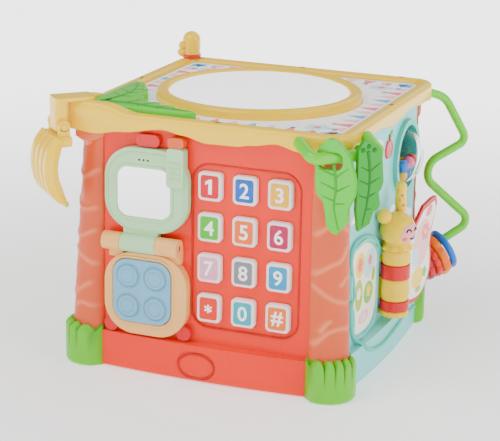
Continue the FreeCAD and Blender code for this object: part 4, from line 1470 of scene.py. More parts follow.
@dataclass
class TopFrame:
    """Yellow top moulding: beaded rim, wavy skirt, deck and raised corner."""

    half: float = 112.5
    corner: float = 18.0
    tip: float = 4.0
    rim: float = 11.0
    hole: float = 75.0
    lift: float = 6.0
    count: int = 360
    front_wave: tuple[Flat, ...] = (
        (-112, 187), (-90, 185), (-68, 188.5), (-33, 193.5), (-17, 191), (3, 187),
        (26, 187.4), (38, 189.4), (58, 192.4), (75, 188.7), (90, 185), (112, 187))
    side_wave: tuple[Flat, ...] = (
        (-112, 187), (-86, 190), (-44, 193), (0, 189), (40, 192.5), (82, 190), (112, 187))
    dimples: tuple[tuple[float, float, float], ...] = (
        (10, -107.6, 0), (97, -100, 45), (107, 6, 90), (83, 107.6, 0), (-4, 107.6, 0),
        (-95, 106, 0), (-107, 10, 90))

    def outline(self, turn: float, depth: float = 0.0) -> tuple[Vector, Vector]:
        """A place on the outer edge, or on the same edge moved inwards.

        Args:
            turn: angle round the centre.
            depth: distance inwards from the outer edge.

        Returns:
            The place and the outward direction there.
        """
        ray = Vector((math.cos(turn), math.sin(turn)))
        sharp = ray.x < 0 and ray.y < 0
        corner = max((self.tip if sharp else self.corner) - depth, 1.5)
        straight = self.half - depth - corner
        reach = (self.half - depth) / max(abs(ray.x), abs(ray.y))
        spot = ray * reach
        if abs(spot.x) > straight and abs(spot.y) > straight:
            knee = Vector((math.copysign(straight, spot.x), math.copysign(straight, spot.y)))
            along = ray.dot(knee)
            reach = along + math.sqrt(along ** 2 - knee.length_squared + corner ** 2)
            spot = ray * reach
            return spot, (spot - knee).normalized()
        if abs(ray.x) > abs(ray.y):
            return spot, Vector((math.copysign(1, ray.x), 0))
        return spot, Vector((0, math.copysign(1, ray.y)))

    def skirt(self, spot: Vector, outward: Vector) -> float:
        """Height of the skirt's lower edge.

        Args:
            spot: place on the outer edge.
            outward: outward direction there.

        Returns:
            The height.
        """
        if abs(outward.y) > abs(outward.x):
            return between(self.front_wave, spot.x if outward.y < 0 else -spot.x)
        return between(self.side_wave, spot.y if outward.x > 0 else -spot.y)

    def raised(self, spot: Vector) -> float:
        """How far the rim is raised near the front left corner.

        Args:
            spot: place on the outer edge.

        Returns:
            The extra height.
        """
        away = max(spot.x, spot.y) + self.half
        share = max(0.0, min(1.0, (54 - away) / 30))
        return self.lift * share * share * (3 - 2 * share)

    def profile(self, spot: Vector, outward: Vector, top: float) -> list[Flat]:
        """Section of the frame as inset and height.

        Args:
            spot: place on the outer edge.
            outward: outward direction there.
            top: height of the rim.

        Returns:
            The points of the section.
        """
        low = self.skirt(spot, outward)
        rise = self.raised(spot)
        crest = top + rise
        return [(3.0, top - 6.8), (3.0, low + 0.8), (2.4, low), (1.0, low),
                (0.25, low + 0.6), (0.0, low + 1.8), (0.0, (low + top) / 2),
                (0.0, top - 3.4 + rise * 0.6), (0.35, crest - 2.0), (1.1, crest - 0.9),
                (2.3, crest - 0.15), (3.8, crest + 0.1), (5.5, crest + 0.15),
                (7.2, crest + 0.1), (8.7, crest - 0.2), (9.9, crest - 1.0),
                (10.6, crest - 2.0), (self.rim, top - 3.9)]

    def build(self) -> None:
        """Build the frame."""
        deck = low_of("deck_label").z
        top = deck + 4
        clay = Clay()
        rows: list[list[Spot]] = []
        for index in range(self.count):
            turn = 2 * math.pi * (index + 0.5) / self.count
            spot, outward = self.outline(turn)
            row = []
            for depth, height in self.profile(spot, outward, top):
                here = self.outline(turn, depth)[0]
                row.append((here.x, -here.y, height))
            ray = Vector((math.cos(turn), math.sin(turn)))
            for reach, height in ((self.hole, deck - 0.05), (self.hole, deck - 2.9)):
                row.append((ray.x * reach, -ray.y * reach, height))
            rows.append(row)
        loops = [clay.ring([row[level] for row in rows]) for level in range(len(rows[0]))]
        clay.skin([*loops, loops[0]], caps=False)
        clay.finish("top_moulding", "cube", "yellow", [YELLOW], ["top_frame"], 32)
        self.slots(top)

    def slots(self, top: float) -> None:
        """Dark ovals of painted shade for the small moulded slots in the rim.

        Args:
            top: height of the rim.
        """
        clay = Clay()
        for across, along, tilt in self.dimples:
            # each slot is a flat dark oval of painted shade lying on the rim
            clay.slab(oval((across, along), 6.4, 2.6, 20, tilt), top - 0.6, top + 0.35, 0.2,
                      Plane.PLAN)
        clay.finish("rim_slot_shades", "cube", "yellow", [SLOT_SHADE])


@dataclass
class DeckPrint:
    """Printed card round the drum: bunting, petals and dots."""

    half: float = 100.0
    gauge: float = 0.12

    def build(self) -> None:
        """Dress the card and add its prints."""
        dress("deck_label", CARD)
        level = high_of("deck_label").z
        ring = high_of("drum_ring").x
        clay = Clay()
        names = ["pink", "rose", "pale", "blue"]
        self.bunting(clay, level, ring)
        self.corners(clay, level)
        clay.paint = 2
        rim = [(across, -along, level) for across, along
               in box_outline((0, 0), self.half * 2 - 1, self.half * 2 - 1, 7)]
        clay.rod(rim, 0.5, 6, closed=True, flat=0.4)
        clay.finish("deck_print", "cube", "card", [INKS[name] for name in names])

    def bunting(self, clay: Clay, level: float, ring: float) -> None:
        """Triangles along each edge of the card.

        Args:
            clay: mesh that they are added to.
            level: height of the card.
            ring: outer radius of the drum ring.
        """
        for quarter in range(4):
            turn = math.radians(90 * quarter)
            for index in range(-6, 7):
                middle = index * 15.0
                depth = min(self.half - 3 - ring + 1 if abs(middle) < 24 else 15.0, 15.0)
                shape = [(middle - 6, self.half - 2.5), (middle, self.half - 2.5 - depth),
                         (middle + 6, self.half - 2.5)]
                spots = [(x * math.cos(turn) - y * math.sin(turn),
                          x * math.sin(turn) + y * math.cos(turn)) for x, y in shape]
                clay.paint = (0, 1, 3, 1)[index % 4]
                clay.slab(spots, level - 0.05, level + self.gauge, 0.05, Plane.PLAN, 1)

    def corners(self, clay: Clay, level: float) -> None:
        """Flowers and dots in the corners of the card.

        Args:
            clay: mesh that they are added to.
            level: height of the card.
        """
        for right, rear in ((1, 1), (1, -1), (-1, 1)):
            clay.paint = 2
            clay.slab(flower((right * 76, rear * 76), 20, 5), level - 0.05,
                      level + self.gauge, 0.05, Plane.PLAN, 1)
            clay.paint = 0
            clay.slab(oval((right * 76, rear * 76), 6, 6), level, level + self.gauge * 2,
                      0.05, Plane.PLAN, 1)
            for step, (across, along) in enumerate(((60, 84), (84, 60), (90, 78), (78, 90))):
                clay.paint = (3, 0)[step % 2]
                clay.slab(oval((right * across, rear * along), 5, 5, 16), level - 0.05,
                          level + self.gauge, 0.05, Plane.PLAN, 1)


@dataclass
class Drum:
    """Drum ring and its domed head."""

    dome: float = 0.7

    def build(self) -> None:
        """Dress the ring and build the head."""
        dress("drum_ring", YELLOW)
        top = high_of("drum_skin").z
        reach = 70.6
        profile = [(reach - 7, top - 6.2), (reach, top - 6.2), (reach, top - 1.6),
                   (reach - 0.6, top - 0.6), (reach - 1.8, top - 0.1), (reach - 4, top),
                   (reach - 5, top - 0.35), (reach - 5.8, top - 0.4), (reach - 6.6, top)]
        for share in (0.85, 0.7, 0.55, 0.4, 0.25, 0.1, 0.02):
            profile.append((reach * share, top + self.dome * (1 - share * share)))
        clay = Clay()
        clay.turned((0, 0, 0), (0, 0, 1), profile, 120)
        clay.finish("glowing_drum_head", "drum_skin", "white_skin", [GLOWING_SKIN], ["drum_skin"], 30)


@dataclass
class Palm:
    """Two-lobed palm leaf lying over the front left of the deck."""

    left: tuple[Flat, ...] = (
        (-101, -97), (-97, -101), (-84, -101), (-76, -92), (-70, -84), (-74, -72), (-68, -66),
        (-76, -58), (-72, -48), (-82, -44), (-79, -34), (-89, -30), (-88, -20), (-98, -16),
        (-101, -22))
    right: tuple[Flat, ...] = (
        (-96, -101), (-62, -101), (-44, -101), (-26, -101), (-10, -99), (-18, -93),
        (-32, -92), (-34, -85), (-46, -86), (-50, -77), (-60, -80), (-66, -71), (-72, -78),
        (-80, -84))

    def build(self) -> None:
        """Build both lobes with their veins."""
        base = high_of("deck_label").z
        high = high_of("palm_leaf_cover").z
        clay = Clay()
        clay.slab(softened(self.left, 1), base, high - 0.2, 1.3, Plane.PLAN)
        clay.slab(softened(self.right, 1), base, high, 1.3, Plane.PLAN)
        clay.paint = 1
        self.vein(clay, [(-92, -94), (-86, -72), (-86, -48), (-94, -24)], high - 0.1, 1.3)
        self.vein(clay, [(-90, -95), (-68, -92), (-42, -96), (-18, -97)], high + 0.1, 1.3)
        for start, end in (((-86, -72), (-76, -68)), ((-86, -60), (-78, -54)),
                           ((-87, -48), (-81, -41)), ((-90, -36), (-90, -28)),
                           ((-86, -72), (-97, -62)), ((-86, -58), (-98, -46))):
            self.vein(clay, [start, end], high - 0.2, 0.8)
        for start, end in (((-74, -92), (-66, -78)), ((-60, -93), (-52, -82)),
                           ((-46, -95), (-38, -88)), ((-34, -96), (-26, -93)),
                           ((-62, -93), (-58, -100)), ((-46, -95), (-42, -100))):
            self.vein(clay, [start, end], high, 0.8)
        clay.paint = 2
        clay.slab(oval((-90, -88), 7, 2.6, 20, 40), high - 0.6, high + 0.4, 0.2, Plane.PLAN)
        clay.finish("palm_leaf", "cube", "leaf_light", [PALM, VEIN, DARK],
                    ["palm_leaf_cover"])

    def vein(self, clay: Clay, points: Sequence[Flat], level: float, width: float) -> None:
        """Add a raised vein.

        Args:
            clay: mesh that it is added to.
            points: line of the vein.
            level: height of the leaf's face.
            width: half width of the vein.
        """
        line = curve(points, 5)
        radii = [width * (1 - 0.6 * step / (len(line) - 1)) for step in range(len(line))]
        clay.rod([(across, -along, level - 0.2) for across, along in line], radii, 8,
                 flat=0.6)


@dataclass
class Bananas:
    """Bunch of four bananas that is the carrying handle."""

    radius: float = 38.5
    pivot: float = 164.5
    pin_level: float = 191.0
    lug: float = 11.7
    lug_width: float = 4.6
    middle: float = 138.0
    level: float = 160.0
    girth: float = 6.1
    pitch: float = 10.0

    def line(self, across: float) -> tuple[list[Spot], list[float]]:
        """Middle line of one banana.

        Args:
            across: place of the banana across the bunch.

        Returns:
            The line, and the radius at each point.
        """
        spots, radii = [], []
        for step in range(31):
            share = step / 30
            turn = math.radians(36 - 84 * share)
            spread = 1 + 0.06 * math.sin(math.pi * share)
            spots.append((across * spread, self.middle + self.radius * math.cos(turn),
                          self.level + self.radius * math.sin(turn)))
            girth = self.girth * min(1.0, 0.78 + 1.2 * share)
            girth *= 1 - 0.76 * max(0.0, (share - 0.7) / 0.3) ** 1.7
            radii.append(girth)
        return spots, radii

    def build(self) -> None:
        """Build the bunch, its lugs and dress its bracket."""
        dress("banana_bracket", YELLOW)
        clay = Clay(Side.FRONT_LEFT)
        for index in range(4):
            spots, radii = self.line(self.pitch * (index - 1.5))
            clay.paint = 0
            clay.rod(spots, radii, 6)
            clay.paint = 1
            clay.ball(spots[-1], (1.9, 1.9, 2.4), 12)
        clay.paint = 0
        clay.slab(box_outline((0, 180), 36, 8, 3), self.pivot - 5, self.pivot + 9, 2.8)
        for side in (-1, 1):
            clay.slab(box_outline((side * self.lug, 184), self.lug_width, 15, 1.5),
                      self.pivot - 4.5, self.pivot + 4.5, 1.2)
            clay.turned((side * self.lug - self.lug_width / 2, self.pivot, self.pin_level),
                        (1, 0, 0),
                        ((2.6, 0), (4.3, 0), (5, 0.7), (5, 3.9), (4.3, 4.6), (2.6, 4.6)), 28)
        piece = clay.finish("bananas", "banana_bunch", "yellow", [YELLOW, INKS["olive"]],
                            ["banana_bunch"], 28)
        bevel = piece.modifiers.new("soft_edges", "BEVEL")
        bevel.width = 0.0011
        bevel.segments = 3
        bevel.limit_method = "ANGLE"
        bevel.angle_limit = math.radians(35)


@dataclass
class Post:
    """Turning post on the rear left corner."""

    reach: float = 147.0
    base: float = 203.3

    def build(self) -> None:
        """Dress the post and add its band."""
        dress("spinner_post", YELLOW)
        clay = Clay(Side.REAR_LEFT)
        clay.turned((0, self.reach, self.base), (0, 0, 1),
                    ((7.4, 0), (8.0, 0.3), (8.3, 1.6), (8.0, 3.0), (7.4, 3.3)), 40)
        clay.finish("post_band", "spinner_post", "crimson", [RED])


# ---------------------------------------------------------------- hanging toys


@dataclass
class HangingLeaves:
    """Bar over the front right corner and the two leaves that swing on it."""

    reach: float = 158.0
    level: float = 190.0
    light_u: float = -12.5

    def build(self) -> None:
        """Dress the bar and the leaves and add their veins."""
        dress("leaf_bar", LIME)
        dress("light_leaf", LEAF_LIGHT)
        dress("dark_leaf", LEAF_DARK)
        self.light()
        self.dark()

    def light(self) -> None:
        """Midrib and side veins of the light leaf."""
        face = -low_of("light_leaf").y
        across = (self.reach + self.light_u) * math.sqrt(0.5)
        clay = Clay(Side.FRONT)
        lines = [[(3, -4), (5, -20), (4, -36), (8, -52)], [(4, -14), (14, -6)],
                 [(5, -24), (15, -18)], [(4, -33), (12, -32)], [(3, -12), (-8, -8)],
                 [(4, -22), (-7, -18)], [(4, -31), (-5, -28)]]
        self.ribs(clay, [[(across + u, self.level + z) for u, z in line] for line in lines],
                  face)
        clay.finish("light_leaf_veins", "light_leaf", "leaf_light", [VEIN])

    def dark(self) -> None:
        """Midrib, side veins and bumps of the dark leaf."""
        face = self.reach + 9.5
        clay = Clay(Side.FRONT_RIGHT)
        lines = [[(12, 5), (14, -12), (13, -30), (9, -50)], [(14, -10), (22, -4)],
                 [(14, -19), (22, -15)], [(13, -29), (19, -26)], [(12, -38), (16, -38)],
                 [(14, -10), (6.5, -6)], [(14, -20), (6, -16)], [(13, -30), (6, -27)]]
        self.ribs(clay, [[(u, self.level + z) for u, z in line] for line in lines], face)
        for across, up in ((8, 6), (12.5, 8.5), (17, 5.5)):
            clay.ball((across, face - 0.2, self.level + up), (1.9, 1.1, 1.9), 16)
        clay.finish("dark_leaf_veins", "dark_leaf", "leaf_dark", [VEIN_DARK])

    def ribs(self, clay: Clay, lines: Sequence[Sequence[Flat]], face: float) -> None:
        """Raised veins on a leaf's face.

        Args:
            clay: mesh that they are added to.
            lines: line of each vein, the midrib first.
            face: distance of the leaf's face.
        """
        for index, line in enumerate(lines):
            smooth = curve(line, 5)
            thick = 1.3 if index == 0 else 0.8
            radii = [thick * (1 - 0.55 * step / (len(smooth) - 1))
                     for step in range(len(smooth))]
            clay.rod([(across, face - 0.1, up) for across, up in smooth], radii, 8, flat=0.7)


@dataclass
class BeadWire:
    """Lime wire with a ring and three flat beads."""

    start: Flat = (198.6, 78.3)
    end: Flat = (134.0, 46.0)
    hole: float = 11.8

    def axis(self) -> Spot:
        """Direction of the wire where the beads hang.

        Returns:
            The direction on the rear right side.
        """
        return 0.0, self.end[0] - self.start[0], self.end[1] - self.start[1]

    def build(self) -> None:
        """Dress the wire and the ring, and build the beads."""
        dress("bead_wire", LIME)
        dress("blue_ring", BLUE)
        self.bead("orange_bead", 19.5, 7.0, 8, 1.5, "orange", ORANGE)
        self.bead("red_bead", 17.8, 6.0, 14, 0.5, "red", RED)
        self.bead("crimson_bead", 16.8, 6.0, 12, 0.5, "crimson", RED_DEEP)

    def bead(self, node: str, outer: float, gauge: float, petals: int, depth: float,
             slot: str, finish: Finish) -> None:
        """Build a bead with a waved edge.

        Args:
            node: node that it stands for.
            outer: outer radius.
            gauge: thickness.
            petals: number of waves round the edge.
            depth: depth of the waves.
            slot: material slot.
            finish: its finish.
        """
        middle = middle_of(node)
        turn = math.radians(Side.REAR_RIGHT.value)
        centre = (middle.x * math.cos(turn) + middle.y * math.sin(turn),
                  middle.x * math.sin(turn) - middle.y * math.cos(turn), middle.z)
        half = gauge / 2

        def ripple(angle: float, radius: float) -> float:
            share = max(0.0, (radius - self.hole - 1) / (outer - self.hole - 1))
            return -depth * share * (1 - abs(math.cos(petals * angle / 2)))

        profile = [(self.hole, -half + 0.8), (self.hole + 0.8, -half), (outer - 2, -half),
                   (outer - 0.7, -half + 0.6), (outer - 0.1, -half + 2), (outer - 0.1,
                   half - 2), (outer - 0.7, half - 0.6), (outer - 2, half),
                   (self.hole + 0.8, half), (self.hole, half - 0.8)]
        clay = Clay(Side.REAR_RIGHT)
        run = Vector(self.axis()).normalized()
        first = run.cross(Vector((0.13, 0.7, 0.31))).normalized()
        second = run.cross(first)
        rows = []
        count = petals * 12
        for radius, along in profile:
            spots, groove_shade_and_lines = [], []
            for index in range(count):
                angle = 2 * math.pi * index / count
                reach = radius + ripple(angle, radius)
                spots.append(tuple(Vector(centre) + run * along
                                   + (first * math.cos(angle) + second * math.sin(angle))
                                   * reach))
                # painted shade in the notches between the waves
                groove_shade_and_lines.append(max(0.0, 1 - 3 * abs(math.cos(petals * angle / 2))))
            rows.append(clay.ring(spots, groove_shade_and_lines))
        clay.skin([*rows, rows[0]], caps=False)
        clay.finish(f"{node}_petals", node, slot, [finish], [node], 35)


# ---------------------------------------------------------------- front face


ONE: tuple[Flat, ...] = ((-0.9, -5.7), (1.9, -5.7), (1.9, 5.7), (-0.3, 5.7), (-3.4, 3.6),
                         (-3.4, 1.2), (-0.9, 2.5))


@dataclass
class Keypad:
    """Twelve keys with a pale rim, a coloured field and a white figure."""

    rim: float = 2.0
    colours: dict[str, tuple[str, Colour]] = field(default_factory=lambda: {
        "key_1": ("1", tint(224, 22, 52)), "key_2": ("2", tint(12, 110, 200)),
        "key_3": ("3", tint(250, 190, 12)), "key_4": ("4", tint(84, 196, 30)),
        "key_5": ("5", tint(250, 120, 30)), "key_6": ("6", tint(198, 20, 96)),
        "key_7": ("7", tint(238, 170, 196)), "key_8": ("8", tint(140, 142, 150)),
        "key_9": ("9", tint(20, 160, 205)), "key_star": ("*", tint(238, 58, 22)),
        "key_0": ("0", tint(30, 180, 196)), "key_hash": ("#", tint(245, 130, 24))})

    def build(self) -> None:
        """Build every key."""
        for node, (text, colour) in self.colours.items():
            self.key(node, text, colour)

    def key(self, node: str, text: str, colour: Colour) -> None:
        """Build one key.

        Args:
            node: node that it stands for, and the body that it rides on.
            text: its figure.
            colour: colour of its field.
        """
        low, high = low_of(node), high_of(node)
        front = -low.y
        lip = 1.2
        centre = ((low.x + high.x) / 2, (low.z + high.z) / 2)
        width, height = high.x - low.x - 2 * lip, high.z - low.z - 2 * lip
        clay = Clay(Side.FRONT)
        clay.slab(box_outline(centre, width, height, 3.5, 6), front - 6.5, front, 1.2,
                  steps=4)
        clay.paint = 1
        field_size = (width - 2 * self.rim - 0.6, height - 2 * self.rim - 0.6)
        clay.slab(box_outline(centre, *field_size, 2.2, 5), front - 0.3, front + 0.14, 0.12)
        clay.paint = 2
        tall = 7.0 if text == "*" else 11.5
        if text == "1":
            clay.slab([(centre[0] + across, centre[1] + up) for across, up in ONE],
                      front + 0.1, front + 0.3, 0.05)
        else:
            clay.figure(text, centre, tall, front + 0.1, front + 0.3)
        inner = Moulded(f"{node}_field", colour, gloss=0.28, coat=0.12)
        clay.finish(f"{node}_cap", node, node, [KEY_RIM, inner, WHITE_INK], [node], 34)


@dataclass
class Phone:
    """Toy flip phone: mirror lid, amber aerial, hinge barrel and a push pad."""

    lid_face: float = 112.0
    base_face: float = 113.0

    def build(self) -> None:
        """Dress the phone and add its mouldings."""
        for node, finish in {
                "phone_base": PEACH, "phone_flip": MINT, "phone_mirror": FOIL,
                "phone_antenna": AMBER, "phone_button": SKY, "phone_trim": CRIMSON}.items():
            dress(node, finish)
        self.lid()
        self.base()

    def lid(self) -> None:
        """Mirror border, dots and ribs of the lid."""
        low, high = low_of("phone_mirror"), high_of("phone_mirror")
        centre = ((low.x + high.x) / 2, (low.z + high.z) / 2)
        face = self.lid_face
        clay = Clay(Side.FRONT)
        rim = box_outline(centre, high.x - low.x + 2.6, high.z - low.z + 2.6, 10, 8)
        clay.rod([(across, face, up) for across, up in rim], 1.3, 10, closed=True, flat=0.8)
        clay.paint = 1
        for step in (-1, 0, 1):
            clay.slab(oval((centre[0] + step * 3.6, high.z + 6.2), 1.6, 1.6, 14),
                      face - 0.2, face + 0.25, 0.15)
        clay.paint = 0
        for up in (158, 162, 166, 170):
            clay.rod([(-25.8, face + 3, up), (-16.8, face + 3, up)], 0.8, 8)
        edge = box_outline((-46, 144.2), 63.5, 60.5, 22, 8)
        clay.rod([(across, face - 0.1, up) for across, up in edge], 0.7, 8, closed=True)
        clay.finish("lid_mouldings", "phone_lid", "mint", [MINT, DARK])

    def base(self) -> None:
        """Raised rim round the push pad and rings on its bumps."""
        low, high = low_of("phone_button"), high_of("phone_button")
        centre = ((low.x + high.x) / 2, (low.z + high.z) / 2)
        face = self.base_face
        clay = Clay(Side.FRONT)
        rim = box_outline(centre, high.x - low.x + 3.4, high.z - low.z + 3.4, 13, 8)
        clay.rod([(across, face - 0.3, up) for across, up in rim], 1.2, 10, closed=True)
        clay.finish("pad_rim", "cube", "peach", [PEACH])
        clay = Clay(Side.FRONT)
        crown = -low.y
        for right in (-1, 1):
            for top in (-1, 1):
                place = (centre[0] + right * 11.3, centre[1] + top * 12)
                ring = oval(place, 11, 11, 28)
                clay.rod([(across, crown, up) for across, up in ring], 0.5, 8, closed=True)
                ring = oval(place, 19.4, 19.4, 32)
                clay.rod([(across, crown - 2, up) for across, up in ring], 0.5, 8,
                         closed=True)
        clay.finish("pad_rings", "phone_button", "sky", [SKY])


# ---------------------------------------------------------------- right face


@dataclass
class Bee:
    """Standing bee that is the hinge of the butterfly's page."""

    reach: float = 117.5
    radius: float = 11.5
    core: float = 4.5
    low: float = 36.0
    neck: float = 90.0
    head_size: float = 14.0
    forward: float = 1.8
    lean: float = -5.0

    def build(self) -> None:
        """Build the body, the head and the face."""
        clay = Clay(Side.RIGHT)
        for low, high in ((self.low, 40.8), (49.2, 66.8), (78.7, self.neck)):
            self.segment(clay, low, high)
        clay.turned((0, self.reach, 0), (0, 0, 1),
                    ((self.core, self.low + 1), (self.core, self.neck + 4)), 24)
        for low, high in ((self.low, 40.8), (49.2, 66.8), (78.7, self.neck)):
            middle = (low + high) / 2
            clay.slab(box_outline((0, middle), 7, high - low - 0.6, 0.8), 104.8, 108, 0.3)
        self.collar(clay)
        level = self.neck + 18
        clay.ball((self.lean, self.reach + self.forward, level),
                  (self.head_size, self.head_size, self.head_size - 0.3), 44)
        self.feelers(clay, level)
        self.face(clay, level)
        clay.finish("bee", "cube", "yellow", [YELLOW, PINK_FACE, BLUSH, DARK, SKY],
                    ["bee_body"], 45)

    def segment(self, clay: Clay, low: float, high: float) -> None:
        """One yellow body segment.

        Args:
            clay: mesh that it is added to.
            low: height of its lower end.
            high: height of its upper end.
        """
        profile = [(self.core, low), (self.radius - 1.4, low)]
        for step in range(9):
            share = step / 8
            swell = math.sin(math.pi * share) ** 0.45
            profile.append((self.radius - 1.0 + swell, low + (high - low) * share))
        profile += [(self.radius - 1.4, high), (self.core, high)]
        clay.turned((0, self.reach, 0), (0, 0, 1), profile, 44)

    def collar(self, clay: Clay) -> None:
        """Ruffled collar under the head.

        Args:
            clay: mesh that it is added to.
        """
        low, high = self.neck, self.neck + 9
        profile = [(self.core, low), (10.2, low), (12.2, low + 1.2), (12.6, low + 2.6),
                   (11.4, low + 4.4), (10.4, high - 3), (10.2, high), (self.core, high)]

        def ruffle(angle: float, radius: float) -> float:
            return 0.9 * math.sin(9 * angle) * max(0.0, (radius - 10.5) / 2)

        clay.turned((0, self.reach, 0), (0, 0, 1), profile, 90, ruffle)

    def feelers(self, clay: Clay, level: float) -> None:
        """Tall feeler and side knob.

        Args:
            clay: mesh that they are added to.
            level: height of the head's middle.
        """
        tall = curve([(6, self.reach, level + 8), (6.5, self.reach, level + 17),
                      (6, self.reach, level + 25), (6, self.reach, level + 31)], 6)
        radii = [4.0 + 0.6 * math.sin(math.pi * 1.1 * step / (len(tall) - 1)) ** 2
                 for step in range(len(tall))]
        clay.rod(tall, radii, 20)
        clay.ball((6, self.reach, level + 30.6), (4.6, 4.6, 4.9), 22)
        clay.ball((self.lean - 11, self.reach - 6, level + 12), (6, 6, 6), 24)
        clay.paint = 2
        for step, turn in enumerate((-100, -40, -80, -55, -110)):
            spot = (6 + 4.5 * math.sin(math.radians(turn)),
                    self.reach + 4.5 * math.cos(math.radians(turn)), level + 13 + 4 * step)
            clay.ball(spot, (0.9, 0.9, 0.9), 10)

    def on_head(self, level: float, across: float, up: float, lift: float) -> Spot:
        """Place on the head's surface.

        Args:
            level: height of the head's middle.
            across: angle across in degrees, from straight outwards.
            up: angle up in degrees.
            lift: height above the surface.

        Returns:
            The place on the side.
        """
        turn, rise = math.radians(across), math.radians(up)
        reach = self.head_size + lift
        return (self.lean + reach * math.sin(turn) * math.cos(rise),
                self.reach + self.forward + reach * math.cos(turn) * math.cos(rise),
                level + (reach - 0.3) * math.sin(rise))

    def face(self, clay: Clay, level: float) -> None:
        """Painted face: pink patch, closed eyes, cheeks and a small smile.

        Args:
            clay: mesh that it is added to.
            level: height of the head's middle.
        """
        clay.paint = 1
        self.patch(clay, level, (-16, -8), (48, 38), 0.25)
        clay.paint = 2
        self.patch(clay, level, (-46, -20), (10, 8), 0.45)
        self.patch(clay, level, (14, -20), (10, 8), 0.45)
        clay.paint = 3
        for middle in (-34, 2):
            arc = [self.on_head(level, middle + 9 * math.cos(turn), 2 + 9 * math.sin(turn),
                                0.45)
                   for turn in (math.pi * step / 12 for step in range(13))]
            clay.rod(arc, 0.6, 8)
        smile = [self.on_head(level, -15 + 9 * math.cos(turn), -17 + 7 * math.sin(turn), 0.45)
                 for turn in (math.pi + math.pi * step / 12 for step in range(13))]
        clay.rod(smile, 0.55, 8)

    def patch(self, clay: Clay, level: float, centre: Flat, size: Flat,
              lift: float) -> None:
        """Thin painted patch that follows the head.

        Args:
            clay: mesh that it is added to.
            level: height of the head's middle.
            centre: angles of its middle in degrees.
            size: half width and half height in degrees.
            lift: height above the surface.
        """
        rows = []
        for share in (0.02, 0.25, 0.5, 0.75, 0.92, 1.0):
            height = lift if share < 1 else -0.4
            rows.append(clay.ring([
                self.on_head(level, centre[0] + size[0] * share * math.cos(turn),
                             centre[1] + size[1] * share * math.sin(turn), height)
                for turn in (2 * math.pi * step / 40 for step in range(40))]))
        clay.skin(rows)


class Pastel(Enum):
    """Paints of the two wing prints, in the order of their finishes."""

    CREAM = 0
    PINK = 1
    BLUE = 2
    YELLOW = 3
    OLIVE = 4
    GREEN = 5
    ROSE = 6


PASTELS = [INKS["cream"], INKS["pink"], INKS["pale"], INKS["yellow"], INKS["olive"],
           INKS["green"], INKS["rose"]]


